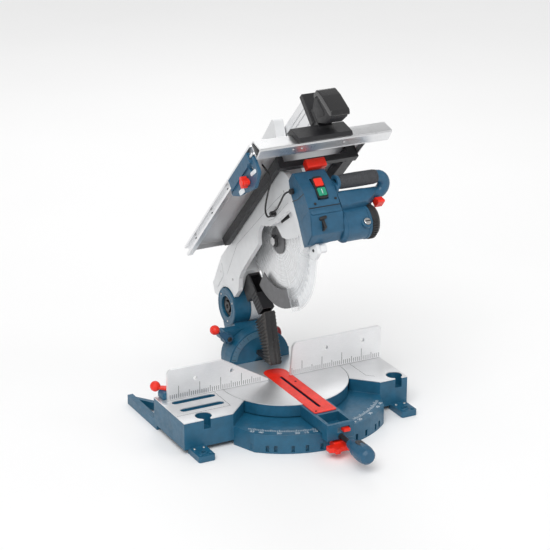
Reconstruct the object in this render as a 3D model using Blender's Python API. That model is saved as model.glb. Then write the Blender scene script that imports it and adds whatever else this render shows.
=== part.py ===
"""Bench-top combination saw: a mitre saw whose head also carries a small rip table.

+X is the operator's right, -Y is the front, +Z is up. The origin is on the bench, under the
centre of the turntable. Sizes are millimetres, and every mesh is made in metres.
The head is drawn in its lowered position, and an empty on its hinge lifts it to rest.
"""
import math

import bmesh
import bpy
from mathutils import Matrix, Vector

MM = 0.001
GAP = 0.3  # running gap between separate pieces

# driving dimensions
BLADE_R = 152.5
BLADE_T = 2.6
TABLE_Z = 81.3  # top of the mitre table
TURN_R = 160.0
RING_R = 258.0
RING_Z = 48.0
WING_OUT = 328.0
WING_IN = 200.0
WING_FRONT = -128.0
WING_BACK = 44.0
WING_RIGHT_OUT = 277.0
CHAMFER = 55.0
SOCKET_R = 20.0  # hold-down sockets in the side tables
SOCKET_LEFT = -268.0
SOCKET_RIGHT = 252.0
SOCKET_Y = -106.0
SLOT_X = (-296.0, -200.0)
SLOT_Y = (-10.0, -58.0)
SLOT_R = 9.0
HOLE_R = 5.5  # fence holes
FENCE_Y = 6.0
FENCE_T = 8.0
ARM_HALF = 36.0
ARM_FRONT = -290.0
KNOB_Z = 46.0
TILT_Z = 81.0  # height of the bevel axis
DRUM_R = 84.0
DRUM_Y = (128.0, 160.0)
TILT_Y = (160.4, 205.0)
CLAMP_AT = (-78.0, 149.0)  # bevel clamp bolt, seen along Y
PIVOT = (0.0, 228.0, 199.0)  # hinge of the head
HEAD_RAISED = 45.0
ARBOR = (0.0, -84.5, 219.0)  # blade centre with the head down
MOTOR = (0.0, -300.0, 137.0)
MOTOR_R = 40.0
MOTOR_END = 112.0
BRUSH = (97.0, 119.0)  # motor brush cap, seen along Y
GLAND = (-312.0, 236.0)  # where the control lead leaves the box, seen along X
GRIP = (0.0, -352.0, 222.0)
SHEET_TOP = 327.0  # top of the rip table with the head down
SHEET_T = 2.5
SHEET_X = (-155.0, 165.0)
SHEET_Y = (-434.0, 105.0)
RAIL_H = 26.0
HOOD_HALF = 13.0

COLOURS = {
    "blue": ((0.022, 0.098, 0.205), 0.42, 0.0),
    "silver": ((0.62, 0.63, 0.64), 0.35, 1.0),
    "white": ((0.72, 0.73, 0.74), 0.45, 0.0),
    "steel": ((0.45, 0.45, 0.46), 0.3, 1.0),
    "black": ((0.02, 0.02, 0.022), 0.5, 0.0),
    "rubber": ((0.05, 0.05, 0.052), 0.85, 0.0),
    "grey": ((0.12, 0.12, 0.125), 0.5, 0.0),
    "red": ((0.75, 0.035, 0.01), 0.4, 0.0),
    "green": ((0.01, 0.3, 0.16), 0.4, 0.0),
    "clear": ((0.85, 0.87, 0.88), 0.1, 0.0),
}
BODIES = {}
AXES = {"X": (1, 2, 0), "Y": (0, 2, 1), "Z": (0, 1, 2)}


def material(name):
    """The Principled material of that finish, made once."""
    found = bpy.data.materials.get(name)
    if found:
        return found
    colour, roughness, metallic = COLOURS[name]
    made = bpy.data.materials.new(name)
    made.use_nodes = True
    shader = made.node_tree.nodes["Principled BSDF"]
    shader.inputs["Base Color"].default_value = (*colour, 1)
    shader.inputs["Roughness"].default_value = roughness
    shader.inputs["Metallic"].default_value = metallic
    return made


def add_body(name, at, parent=None, tilt=0.0):
    """An empty on a joint's axis, which carries that body's pieces."""
    empty = bpy.data.objects.new("axis_" + name, None)
    bpy.context.collection.objects.link(empty)
    origin = Vector(BODIES[parent][1]) if parent else Vector((0, 0, 0))
    if parent:
        empty.parent = BODIES[parent][0]
    empty.location = (Vector(at) - origin) * MM
    empty.rotation_euler.x = math.radians(tilt)
    BODIES[name] = (empty, at)


def piece(name, body, finish, shape, angle=40):
    """One named object from a bmesh drawn in the body's drawing frame."""
    empty, at = BODIES[body]
    bmesh.ops.transform(shape, matrix=Matrix.Translation(-Vector(at)), verts=shape.verts)
    bmesh.ops.scale(shape, vec=(MM, MM, MM), verts=shape.verts)
    mesh = bpy.data.meshes.new(name)
    shape.to_mesh(mesh)
    shape.free()
    mesh.shade_smooth()
    mesh.set_sharp_from_angle(angle=math.radians(angle))
    mesh.materials.append(material(finish))
    made = bpy.data.objects.new(name, mesh)
    bpy.context.collection.objects.link(made)
    made.parent = empty
    return made


def arc(centre, radius, start, end, steps):
    """Points on an arc in a plane, angles in degrees."""
    turns = (math.radians(start + (end - start) * i / steps) for i in range(steps + 1))
    return [(centre[0] + radius * math.cos(t), centre[1] + radius * math.sin(t)) for t in turns]


def circle(centre, radius, steps=24):
    return arc(centre, radius, 0, 360, steps)[:-1]


def slot_outline(x0, x1, y, radius, steps=6):
    """A slot along the first axis with round ends."""
    right = arc((x1, y), radius, -90, 90, steps)
    return right + arc((x0, y), radius, 90, 270, steps)


def box_outline(x0, x1, y0, y1):
    return [(x0, y0), (x1, y0), (x1, y1), (x0, y1)]


def rounded(corners, steps=5):
    """A polygon whose corners, given as (x, y, radius), are arcs."""
    points = []
    for i, (x, y, radius) in enumerate(corners):
        here = Vector((x, y))
        if radius <= 0:
            points.append((x, y))
            continue
        before = (Vector(corners[i - 1][:2]) - here).normalized()
        after = (Vector(corners[(i + 1) % len(corners)][:2]) - here).normalized()
        half = before.angle(after) / 2
        start = here + before * radius / math.tan(half)
        end = here + after * radius / math.tan(half)
        centre = here + (before + after).normalized() * radius / math.sin(half)
        for k in range(steps + 1):
            spoke = (start - centre).lerp(end - centre, k / steps).normalized()
            points.append(tuple(centre + spoke * radius))
    return points


def prism(outline, axis, low, high):
    """An outline extruded along an axis between two heights."""
    first, second, along = AXES[axis]
    shape = bmesh.new()
    ends = []
    for height in (low, high):
        ring = []
        for a, b in outline:
            point = [0.0, 0.0, 0.0]
            point[first], point[second], point[along] = a, b, height
            ring.append(shape.verts.new(point))
        ends.append(ring)
    count = len(outline)
    shape.faces.new(ends[0])
    shape.faces.new(ends[1])
    for i in range(count):
        j = (i + 1) % count
        shape.faces.new((ends[0][i], ends[0][j], ends[1][j], ends[1][i]))
    bmesh.ops.recalc_face_normals(shape, faces=shape.faces)
    return shape


def block(x0, x1, y0, y1, z0, z1):
    return prism(box_outline(x0, x1, y0, y1), "Z", z0, z1)


def turned(profile, axis, centre, steps=24):
    """A profile of (radius, place) turned about an axis; it starts and ends on the axis."""
    first, second, along = AXES[axis]
    shape = bmesh.new()
    rings = []
    for radius, place in profile:
        ring = []
        for i in range(1 if radius == 0 else steps):
            turn = 2 * math.pi * i / steps
            point = [0.0, 0.0, 0.0]
            point[first] = centre[0] + radius * math.cos(turn)
            point[second] = centre[1] + radius * math.sin(turn)
            point[along] = place
            ring.append(shape.verts.new(point))
        rings.append(ring)
    for one, two in zip(rings, rings[1:]):
        for i in range(steps):
            j = (i + 1) % steps
            corners = [one[i % len(one)], one[j % len(one)], two[j % len(two)], two[i % len(two)]]
            shape.faces.new(list(dict.fromkeys(corners)))
    bmesh.ops.recalc_face_normals(shape, faces=shape.faces)
    return shape


def ball_profile(radius, middle):
    """The profile of a ball for turned()."""
    bows = [(radius * math.sin(math.radians(a)), middle - radius * math.cos(math.radians(a)))
            for a in range(25, 170, 26)]
    return [(0, middle - radius)] + bows + [(0, middle + radius)]


def drum(axis, centre, radius, low, high, steps=24):
    """A plain cylinder."""
    return prism(circle(centre, radius, steps), axis, low, high)


def moved(shape, shift=(0, 0, 0), turn=0.0, axis="X", about=(0, 0, 0)):
    """A shape turned about a point, then shifted."""
    about = Vector(about)
    spin = Matrix.Rotation(math.radians(turn), 4, axis)
    place = Matrix.Translation(about + Vector(shift)) @ spin @ Matrix.Translation(-about)
    bmesh.ops.transform(shape, matrix=place, verts=shape.verts)
    return shape


def together(shapes):
    """Several shapes as one set of separate bodies, for use as a cutter."""
    whole = bmesh.new()
    for shape in shapes:
        mesh = bpy.data.meshes.new("part")
        shape.to_mesh(mesh)
        shape.free()
        whole.from_mesh(mesh)
        bpy.data.meshes.remove(mesh)
    return whole


def combine(shape, others, operation):
    """A Boolean of a shape with others, worked out at once."""
    for other in others:
        pair = []
        for source in (shape, other):
            mesh = bpy.data.meshes.new("part")
            source.to_mesh(mesh)
            source.free()
            made = bpy.data.objects.new("part", mesh)
            bpy.context.collection.objects.link(made)
            pair.append(made)
        change = pair[0].modifiers.new("change", "BOOLEAN")
        change.operation = operation
        change.solver = "EXACT"
        change.object = pair[1]
        graph = bpy.context.evaluated_depsgraph_get()
        result = bpy.data.meshes.new_from_object(pair[0].evaluated_get(graph))
        shape = bmesh.new()
        shape.from_mesh(result)
        bmesh.ops.dissolve_degenerate(shape, dist=0.01, edges=shape.edges)
        for made in pair:
            bpy.data.objects.remove(made)
    return shape


def fuse(shape, *others):
    return combine(shape, others, "UNION")


def carve(shape, *others):
    return combine(shape, others, "DIFFERENCE")


def hull_outline(first, first_r, second, second_r, steps=10):
    """The outline of a belt round two circles."""
    span = Vector(second) - Vector(first)
    base = math.degrees(math.atan2(span.y, span.x))
    lean = math.degrees(math.acos((first_r - second_r) / span.length))
    near = arc(first, first_r, base + lean, base + 360 - lean, steps)
    return near + arc(second, second_r, base - lean, base + lean, steps)


def add_bodies():
    add_body("base", (0, 0, 0))
    add_body("left_fence", (-170, FENCE_Y, 120), "base")
    add_body("fence_clamp", (-296, 30, 103), "base")
    add_body("turntable", (0, 0, 0), "base")
    add_body("mitre_lock", (0, ARM_FRONT, KNOB_Z), "turntable")
    add_body("detent_lever", (0, ARM_FRONT - 6, 32), "turntable")
    add_body("tilt", (0, 0, TILT_Z), "turntable")
    add_body("bevel_clamp", (CLAMP_AT[0], 150, CLAMP_AT[1]), "tilt")
    add_body("bevel_pin", (60, 180, 125), "tilt")
    add_body("head", PIVOT, "tilt", -HEAD_RAISED)
    add_body("blade", ARBOR, "head")
    add_body("motor_rotor", MOTOR, "head")
    add_body("front_guard", ARBOR, "head")
    add_body("rear_guard", ARBOR, "head")
    add_body("off_button", (2.5, -346, 226), "head")
    add_body("on_button", (2.5, -346, 202), "head")
    add_body("release_bar", (0, -304, 272), "head")
    add_body("trigger", (150, -330, 178), "head")
    add_body("rip_table", (0, -84.5, SHEET_TOP), "head")
    add_body("rip_fence", (34, -425, SHEET_TOP), "rip_table")
    add_body("rip_clamp", (34, -434, 372), "rip_fence")
    add_body("gauge", (-150, -320, 300), "rip_table")
    add_body("gauge_knob", (-150, -332, 268), "gauge")


def wing(outer, inner):
    """Outline of one side table; the two x values carry their side's sign."""
    side = math.copysign(1, outer)
    tip = inner - side * CHAMFER
    return [(outer, WING_FRONT), (inner, WING_FRONT), (tip, WING_FRONT + CHAMFER),
            (tip, WING_BACK - 24), (tip + side * 24, WING_BACK), (outer, WING_BACK)]


def clamp_recess(x, y):
    """The open-sided hold-down socket in a side table's front corner."""
    socket = drum("Z", (x, y), SOCKET_R, 48, 90, 28)
    return fuse(socket, block(x - 9, x + 9, y - 40, y, 56, 89))


def base_casting():
    """Ring, side tables, feet and rear outriggers in one casting."""
    sweep = arc((0, 0), RING_R, 227, 313, 30)
    ring = prism([(-WING_IN, WING_FRONT)] + sweep + [(WING_IN, WING_FRONT), (150, -60), (-150, -60)],
                 "Z", 0, RING_Z)
    body = fuse(ring, drum("Z", (0, 0), 150, 0, RING_Z, 48))
    feet = []
    for outer, inner, foot in ((-WING_OUT, -WING_IN, -295), (WING_RIGHT_OUT, WING_IN, 252)):
        body = fuse(body, prism(wing(outer, inner), "Z", 12, 78.7))
        tab = prism(rounded([(foot - 21, -184, 5), (foot + 21, -184, 5), (foot + 21, -120, 0),
                             (foot - 21, -120, 0)]), "Z", 0, 15)
        body = fuse(body, tab)
        feet.append(drum("Z", (foot, -162), 4.5, -5, 30, 16))
        side = math.copysign(1, outer)
        x0, x1 = sorted((outer, outer - side * 14))
        rail = block(x0, x1, 30, 205, 0, 24)
        brace = prism([(outer, 205), (outer, 188), (outer - side * 95, 40), (outer - side * 118, 40)],
                      "Z", 4, 24)
        body = fuse(body, rail, brace)
    body = carve(body, drum("Z", (0, 0), TURN_R + 1.5, 50, 95, 64))
    pockets = [block(-316, -212, -114, 42, 0, 70), block(212, 265, -114, 42, 0, 70)]
    sockets = [(x, SOCKET_Y) for x in (SOCKET_LEFT, SOCKET_RIGHT)]
    socket_walls = [drum("Z", at, SOCKET_R + 4, 5, 75, 28) for at in sockets]
    pockets = [carve(p, w) for p, w in zip(pockets, socket_walls)]
    body = carve(body, together(pockets))
    body = carve(body, together([clamp_recess(*at) for at in sockets]))
    channels = [prism(slot_outline(*SLOT_X, y, SLOT_R), "Z", 73, 90) for y in SLOT_Y]
    body = carve(body, together(channels))
    hollow = carve(drum("Z", (0, 0), 140, -5, 38, 48), drum("Z", (0, 0), 34, -6, 40, 32))
    body = carve(body, hollow, together(feet), drum("Z", (0, 0), 8.3, 4, 60, 24))
    notches = []
    for stop in (-45, -36, -31.6, -22.5, -15, -7, 0, 7, 15, 22.5, 31.6, 36, 45):
        notch = block(-4, 4, -RING_R - 8, -RING_R + 7, 4, 20)
        notches.append(moved(notch, turn=stop, axis="Z"))
    return carve(body, together(notches))


def side_plate(outer, inner, slots):
    """The machined top of a side table."""
    plate = prism(wing(outer, inner), "Z", 79, TABLE_Z)
    plate = carve(plate, drum("Z", (0, 0), TURN_R + 1.5, 70, 95, 64))
    centre = SOCKET_LEFT if outer < 0 else SOCKET_RIGHT
    return carve(plate, clamp_recess(centre, SOCKET_Y), *slots)


def build_base():
    piece("base_casting", "base", "blue", base_casting())
    slots = [prism(slot_outline(*SLOT_X, y, SLOT_R), "Z", 70, 90) for y in SLOT_Y]
    piece("left_table_plate", "base", "silver", side_plate(-WING_OUT, -WING_IN, slots))
    piece("right_table_plate", "base", "silver", side_plate(WING_RIGHT_OUT, WING_IN, []))
    right = prism(rounded([(23, 82, 0), (279, 82, 0), (279, 167, 10), (31, 167, 15)]),
                  "Y", FENCE_Y, FENCE_Y + FENCE_T)
    holes = [drum("Y", (x, 137), HOLE_R, 0, 20, 20) for x in (122, 226)]
    piece("fence_right", "base", "silver", carve(right, *holes))
    left = rounded([(-318, 82, 3), (-172, 82, 3), (-172, 100, 8), (-318, 100, 8)])
    piece("fence_bracket_left", "base", "blue", prism(left, "Y", 14.4, 42))
    right = rounded([(166, 82, 3), (277, 82, 3), (277, 100, 8), (166, 100, 8)])
    piece("fence_bracket_right", "base", "blue", prism(right, "Y", 14.4, 42))
    shaft = [(0, 5), (8, 5), (8, 49.5), (0, 49.5)]
    piece("centre_pivot_bolt", "base", "steel", turned(shaft, "Z", (0, 0), 20))
    fence = rounded([(-308, 82, 0), (-38, 82, 0), (-38, 86, 0), (-162, 160, 5), (-308, 160, 12)])
    plate = prism(fence, "Y", FENCE_Y, FENCE_Y + FENCE_T)
    holes = [drum("Y", (x, 127), HOLE_R, 0, 20, 20) for x in (-235, -137)]
    piece("fence_left", "left_fence", "silver", carve(plate, *holes))
    stem = prism(hull_outline((-296, 30), 9, (-318, 50), 5), "Z", 100.4, 106)
    ball = turned(ball_profile(13, 105), "Z", (-320, 52), 16)
    piece("fence_clamp_lever", "fence_clamp", "red", fuse(stem, ball))


def build_turntable():
    disc = drum("Z", (0, 0), TURN_R - 1, 50.3, 79, 64)
    arm = block(-ARM_HALF, ARM_HALF, ARM_FRONT, -120, 50.3, 79)
    nose = prism(rounded([(ARM_FRONT, 37, 4), (-262, 37, 0), (-262, 79, 0), (ARM_FRONT, 79, 4)]),
                 "X", -ARM_HALF, ARM_HALF)
    back = [p for p in circle((0, TILT_Z), DRUM_R, 48) if p[1] > 56]
    back = sorted(back, key=lambda p: math.atan2(p[1] - 50, p[0]))
    back = [(80, 50.3)] + back + [(-80, 50.3)]
    flank = block(48, 83, *DRUM_Y, 52, 103)
    body = fuse(disc, arm, nose, prism(back, "Y", *DRUM_Y), flank)
    pocket = block(-27, 27, -281, -226, 55, 90)
    trough = block(-6, 17, -190, 16, 62, 90)
    window = block(-9, 23, -300, -280, 55, 69)
    bore = drum("Y", (0, KNOB_Z), 7.3, -300, -270, 16)
    pivot = drum("Z", (0, 0), 8.3, 49, 52, 20)
    axle = drum("Y", (0, TILT_Z), 12.4, 120, 170, 24)
    piece("turntable_casting", "turntable", "blue",
          carve(body, pocket, trough, window, bore, pivot, axle))
    top = drum("Z", (0, 0), TURN_R, 79.3, TABLE_Z, 64)
    seat = rounded([(-30.5, -218, 6), (30.5, -218, 6), (30.5, 66, 24), (-30.5, 66, 24)], 8)
    well = prism(seat, "Z", 70, 95)
    behind = block(-96, 96, 127.6, 200, 70, 95)
    piece("turntable_top", "turntable", "silver", carve(top, well, behind))
    plate = rounded([(-30, -217, 6), (30, -217, 6), (30, 65.5, 24), (-30, 65.5, 24)], 8)
    slit = prism(slot_outline(-185, 11, 0.8, 4, 4), "Z", 60, 95)
    slit = moved(slit, turn=90, axis="Z")
    piece("kerf_plate", "turntable", "red", carve(prism(plate, "Z", 79.3, TABLE_Z), slit))
    piece("angle_pointer", "turntable", "red", block(4, 21, -298, -281.3, 58, 66))
    band = arc((0, TILT_Z), 80, 88, 172, 16) + arc((0, TILT_Z), 64, 172, 88, 16)
    piece("bevel_scale", "turntable", "silver", prism(band, "Y", 126.2, 127.7))
    rod = [(0, -335.6), (6, -335.6), (6, -291), (7, -291), (7, -272), (0, -272)]
    piece("mitre_lock_rod", "mitre_lock", "black", turned(rod, "Y", (0, KNOB_Z), 16))


def build_locks():
    """The knob and the detent lever under the turntable's arm."""
    grip = [(0, -424), (13, -423), (19, -417), (22, -402), (22, -385), (19, -365), (14, -348),
            (12, -336), (0, -336)]
    knob = carve(turned(grip, "Y", (0, KNOB_Z), 20), drum("Y", (0, KNOB_Z), 6.3, -336.5, -330, 16))
    piece("mitre_lock_knob", "mitre_lock", "blue", knob)
    outline = [(-40, -291), (22, -291), (22, -312), (30, -330), (12, -330), (4, -314), (-14, -314),
               (-18, -322), (-30, -322), (-30, -312), (-40, -308)]
    lever = prism(outline, "Z", 18, 30)
    piece("detent_release_lever", "detent_lever", "red", fuse(lever, block(-18, 10, -291, -268, 18, 33)))


def build_tilt():
    drum_plate = drum("Y", (0, TILT_Z), 70, *TILT_Y, 48)
    neck = prism([(162, 81), (205, 60), (246, 128), (262, 165), (196, 165), (170, 150), (162, 120)],
                 "X", -38, 56)
    barrel = drum("X", PIVOT[1:], 48, -42, 62, 40)
    body = fuse(drum_plate, neck, barrel)
    lug = fuse(drum("Y", CLAMP_AT, 13, 162, 190, 20), block(-78, -30, 162, 190, 128, 160))
    body = fuse(body, lug)
    hub_room = drum("X", PIVOT[1:], 50, 3, 41, 40)
    bolt_bore = drum("X", PIVOT[1:], 9.3, -60, 70, 24)
    recess = drum("X", PIVOT[1:], 27, -60, -30, 32)
    lever_bore = drum("Y", CLAMP_AT, 5.3, 150, 200, 16)
    pin_bore = drum("X", (180, 125), 5.3, 37, 90, 16)
    body = carve(body, hub_room, bolt_bore, recess, lever_bore, pin_bore)
    axle = drum("Y", (0, TILT_Z), 12, 134, 164, 24)
    piece("tilt_casting", "tilt", "blue", fuse(body, axle))
    hexagon = circle(PIVOT[1:], 15, 6)
    bolt = fuse(drum("X", PIVOT[1:], 9, -31, 58, 24), prism(hexagon, "X", -40, -30.4))
    piece("head_pivot_bolt", "tilt", "steel", carve(bolt, drum("X", PIVOT[1:], 6, -45, -36, 6)))
    stem = fuse(drum("Y", CLAMP_AT, 12, 146, 161, 20), drum("Y", CLAMP_AT, 5, 150, 186, 16))
    arm = prism(hull_outline(CLAMP_AT, 10, (-100, 166), 6), "Y", 138, 150)
    piece("bevel_clamp_lever", "bevel_clamp", "blue", fuse(stem, arm))
    ball = turned(ball_profile(12.5, 146), "Y", (-115, 178), 16)
    piece("bevel_clamp_ball", "bevel_clamp", "red", ball)
    pin = turned([(0, 46), (5, 46), (5, 67), (13, 67), (15, 71), (15, 79), (12, 83), (0, 83)], "X",
                 (180, 125), 20)
    piece("bevel_stop_pin", "bevel_pin", "red", pin)
    front = [(38, 103), (73, 234), (92, 216), (122, 190), (66, 103)]
    duct = prism(front, "X", -18, 18)
    ribs = [prism([(42 + 2.7 * k, 106 + 10 * k), (43 + 2.7 * k, 109.6 + 10 * k),
                   (66 + 5.6 * k, 109.6 + 10 * k), (63.6 + 5.6 * k, 106 + 10 * k)], "X", -19.6, 19.6)
            for k in range(1, 9)]
    bore = prism([(44, 96), (80, 236), (94, 222), (114, 190), (61, 100)], "X", -14, 14)
    foot = prism([(60, 103), (160.5, 103), (160.5, 122), (70, 122)], "X", -12, 12)
    body = fuse(duct, *ribs)
    body = carve(fuse(body, foot), bore, block(-60, 60, 127, 170, 80, 140))
    piece("dust_bellows", "tilt", "black", body)


def head_arm():
    """Light-alloy arm: outer plate, drive-side plate, webs and hinge hub."""
    lower = arc(ARBOR[1:], 42, 140, 22, 12)
    collar = arc(PIVOT[1:], 50.6, 180, 55, 10)
    outline = [(166, 311), (-260, 311)] + arc((-260, 265), 46, 90, 170, 8)[1:] + [
        (-294, 246), (-284, 200), (-278, 165), (-259, 117), (-236, 111), (-230, 116), (-250, 135),
        (-263, 170), (-262, 205), (-250, 218), (-169, 229), (-136, 236), (-124, 246)] + lower + [
        (92, 228), (116, 222), (142, 200)] + collar + [(274, 260), (264, 284), (228, 294)]
    left = prism(outline, "X", -38, -26)
    cover = prism([(-262, 262), (-262, 205), (-250, 178), (-207, 165), (-150, 190), (-134, 204),
                   (-128, 236), (-100, 262)], "X", -17, -14.2)
    cover = carve(cover, prism([(-149, 255), (-116, 255), (-116, 246), (-149, 246)], "X", -20, -10))
    cover = fuse(cover, block(-28, -14.2, -262, -100, 258, 264), block(-28, -14.2, -264, -259, 200, 264))
    right_outline = [(166, 311), (-269.5, 311), (-269.5, 200), (-250, 135), (-205, 135), (-150, 185)]
    right_outline += arc(ARBOR[1:], 36, 215, 325, 8) + [(-20, 215), (95, 232), (150, 228)]
    right = prism(right_outline, "X", 14, 22.5)
    rear = prism([(102, 234), (142, 214), (168, 214), (168, 311), (102, 311)], "X", -30, 18)
    front = block(-30, 18, -269.5, -262, 150, 311)
    hub = drum("X", PIVOT[1:], 47, 5, 39, 40)
    web = prism([(150, 226), (150, 300), (228, 294), (264, 284), (262, 240), (228, 205), (190, 225)],
                "X", 5, 39)
    tie = block(-30, 39, 150, 170, 255, 305)
    spine = prism([(160, 262), (160, 300), (228, 293), (262, 283), (255, 262)], "X", -38, 39)
    body = fuse(left, cover, right, rear, front, hub, web, tie, spine)
    sweep = drum("X", PIVOT[1:], 50.6, -60, 4.6, 40)
    sweep_right = drum("X", PIVOT[1:], 50.6, 39.4, 90, 40)
    bore = drum("X", PIVOT[1:], 9.3, -10, 60, 24)
    arbor_bore = drum("X", ARBOR[1:], 8.4, 10, 30, 24)
    return carve(body, sweep, sweep_right, bore, arbor_bore)


def saw_blade():
    """A toothed disc with an arbor hole."""
    teeth = 48
    points = []
    for i in range(teeth):
        turn = 360 * i / teeth
        for offset, radius in ((0.0, BLADE_R), (0.6, BLADE_R - 6.5), (3.0, BLADE_R - 7.5),
                               (6.2, BLADE_R - 1.2)):
            a = math.radians(turn + offset)
            points.append((ARBOR[1] + radius * math.cos(a), ARBOR[2] + radius * math.sin(a)))
    disc = prism(points, "X", -BLADE_T / 2, BLADE_T / 2)
    return carve(disc, drum("X", ARBOR[1:], 8.4, -5, 5, 24))


def guard(radius, start, end, walls, hub=False):
    """A channel round the blade's rim, open towards its centre."""
    steps = max(6, int((end - start) / 6))
    centre = ARBOR[1:]
    inner = radius - 3
    reach = 118
    whole = arc(centre, radius, start, end, steps) + arc(centre, reach, end, start, steps)
    body = prism(whole, "X", *walls)
    hollow = arc(centre, inner, start - 4, end + 4, steps) + arc(centre, reach - 9, end + 4, start - 4, steps)
    body = carve(body, prism(hollow, "X", walls[0] + 2.5, walls[1] - 2.5))
    if hub:
        middle = math.radians((start + end) / 2)
        ring = drum("X", centre, 24, walls[1] - 2.2, walls[1], 28)
        tip = (centre[0] + 124 * math.cos(middle), centre[1] + 124 * math.sin(middle))
        spoke = prism(hull_outline(centre, 16, tip, 15), "X", walls[1] - 2.2, walls[1])
        body = carve(fuse(body, spoke, ring), drum("X", centre, 15, 0, 20, 24))
    return body


def build_head():
    piece("head_arm", "head", "white", head_arm())
    front, rear = MOTOR[1:], ARBOR[1:]
    cover = prism(hull_outline(front, 30, rear, 38, 14), "X", 23, 40)
    room = prism(hull_outline(front, 26, rear, 34, 14), "X", 22, 37.5)
    keep = block(10, 60, -400, -270, 0, 400)
    piece("belt_cover", "head", "black", carve(cover, room, keep))
    piece("blade", "blade", "steel", saw_blade())
    flange = [(0, -12), (14, -12), (14, -8), (33, -5), (33, -1.7), (0, -1.7)]
    bore = drum("X", rear, 8.4, -20, 5, 24)
    piece("outer_flange", "blade", "grey", carve(turned(flange, "X", rear, 36), bore))
    flange = [(0, 1.7), (28, 1.7), (28, 5), (14, 6), (14, 13), (0, 13)]
    bore = drum("X", rear, 8.4, 0, 20, 24)
    piece("inner_flange", "blade", "grey", carve(turned(flange, "X", rear, 36), bore))
    shaft = fuse(drum("X", rear, 8, -16, 36, 24), prism(circle(rear, 11, 6), "X", -19, -12.4))
    pulley = drum("X", rear, 27, 25.5, 35.5, 36)
    piece("arbor_shaft", "blade", "steel", fuse(shaft, pulley))
    rotor = fuse(drum("X", front, 19, 25.5, 35.5, 32), drum("X", front, 6, 24, 62, 16))
    piece("motor_rotor", "motor_rotor", "steel", rotor)
    band = prism(hull_outline(front, 22.4, rear, 30.4, 14), "X", 26.5, 34.5)
    inside = prism(hull_outline(front, 19.5, rear, 27.5, 14), "X", 20, 40)
    piece("drive_belt", "head", "rubber", carve(band, inside))
    piece("front_guard", "front_guard", "clear", guard(176, 212, 285, (-12, 8), False))
    piece("rear_guard", "rear_guard", "grey", guard(165, 286, 346, (-11, 12.6), True))
    can = [(0, 40.6), (34, 40.6), (MOTOR_R, 46), (MOTOR_R, MOTOR_END), (0, MOTOR_END)]
    can = carve(turned(can, "X", front, 40), drum("X", front, 7, 30, 63, 20),
                drum("Y", BRUSH, 9.3, -345, -328, 20))
    piece("motor_housing", "head", "blue", can)
    near = MOTOR_END + GAP
    cap = [(0, near), (MOTOR_R + 1, near), (MOTOR_R + 1, near + 14), (MOTOR_R - 5, near + 22), (0, near + 22)]
    piece("motor_end_cap", "head", "black", turned(cap, "X", front, 40))
    brush = [(0, -341), (7.5, -341), (9, -339.5), (9, -328.3), (0, -328.3)]
    piece("brush_cap", "head", "silver", turned(brush, "Y", BRUSH, 20))
    outline = rounded([(-270.6, 262, 5), (-338, 270, 5), (-354, 214, 6), (-347, 148, 6), (-322, 113, 5),
                       (-286, 106, 5), (-270.6, 124, 4)], 3)
    flank = rounded([(-309, 266, 3), (-338, 270, 5), (-354, 214, 6), (-347, 148, 6), (-322, 113, 5),
                     (-286, 106, 4), (-265, 112, 2), (-281, 165, 2), (-288, 200, 2), (-298, 245, 2)], 3)
    box = fuse(prism(outline, "X", -25, 40), prism(flank, "X", -42, -24.9))
    belt_room = prism(hull_outline(front, 26, rear, 34, 14), "X", 23, 38.4)
    axle_room = drum("X", front, 8, 30, 50, 20)
    window = block(-11.4, 16.4, -370, -340, 186, 244)
    box = carve(box, belt_room, axle_room, window)
    gland_bore = drum("X", GLAND, 4.3, -50, -34, 16)
    piece("head_box", "head", "blue", carve(box, gland_bore))
    bezel = prism(rounded([(-11, 186.4, 8), (16, 186.4, 8), (16, 243.6, 8), (-11, 243.6, 8)]),
                  "Y", -357, -341)
    holes = [block(-8.2, 13.2, -360, -344, z - 10.5, z + 10.5) for z in (202.6, 227.4)]
    piece("switch_bezel", "head", "black", carve(bezel, *holes))
    for name, finish, height in (("on_button", "green", 202.6), ("off_button", "red", 227.4)):
        cap = rounded([(-7.8, height - 10, 2), (12.8, height - 10, 2), (12.8, height + 10, 2),
                       (-7.8, height + 10, 2)], 3)
        piece(name, name, finish, prism(cap, "Y", -359, -347.5))
    bar = rounded([(-345, 273.4, 4), (-302, 268.8, 3), (-302, 284, 4), (-345, 287, 5)], 3)
    piece("release_bar", "release_bar", "red", prism(bar, "X", -22, 26))
    gland = turned([(0, -52), (5, -52), (7, -50), (7, -42.4), (4, -42.4), (4, -36), (0, -36)],
                   "X", GLAND, 16)
    piece("cable_gland", "head", "black", gland)
    clip = carve(block(-51.5, -38.3, -189, -179, 239.5, 250.5), drum("Y", (-47.3, 245), 3.3, -200, -170, 16))
    piece("cable_clip", "head", "black", clip)


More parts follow.
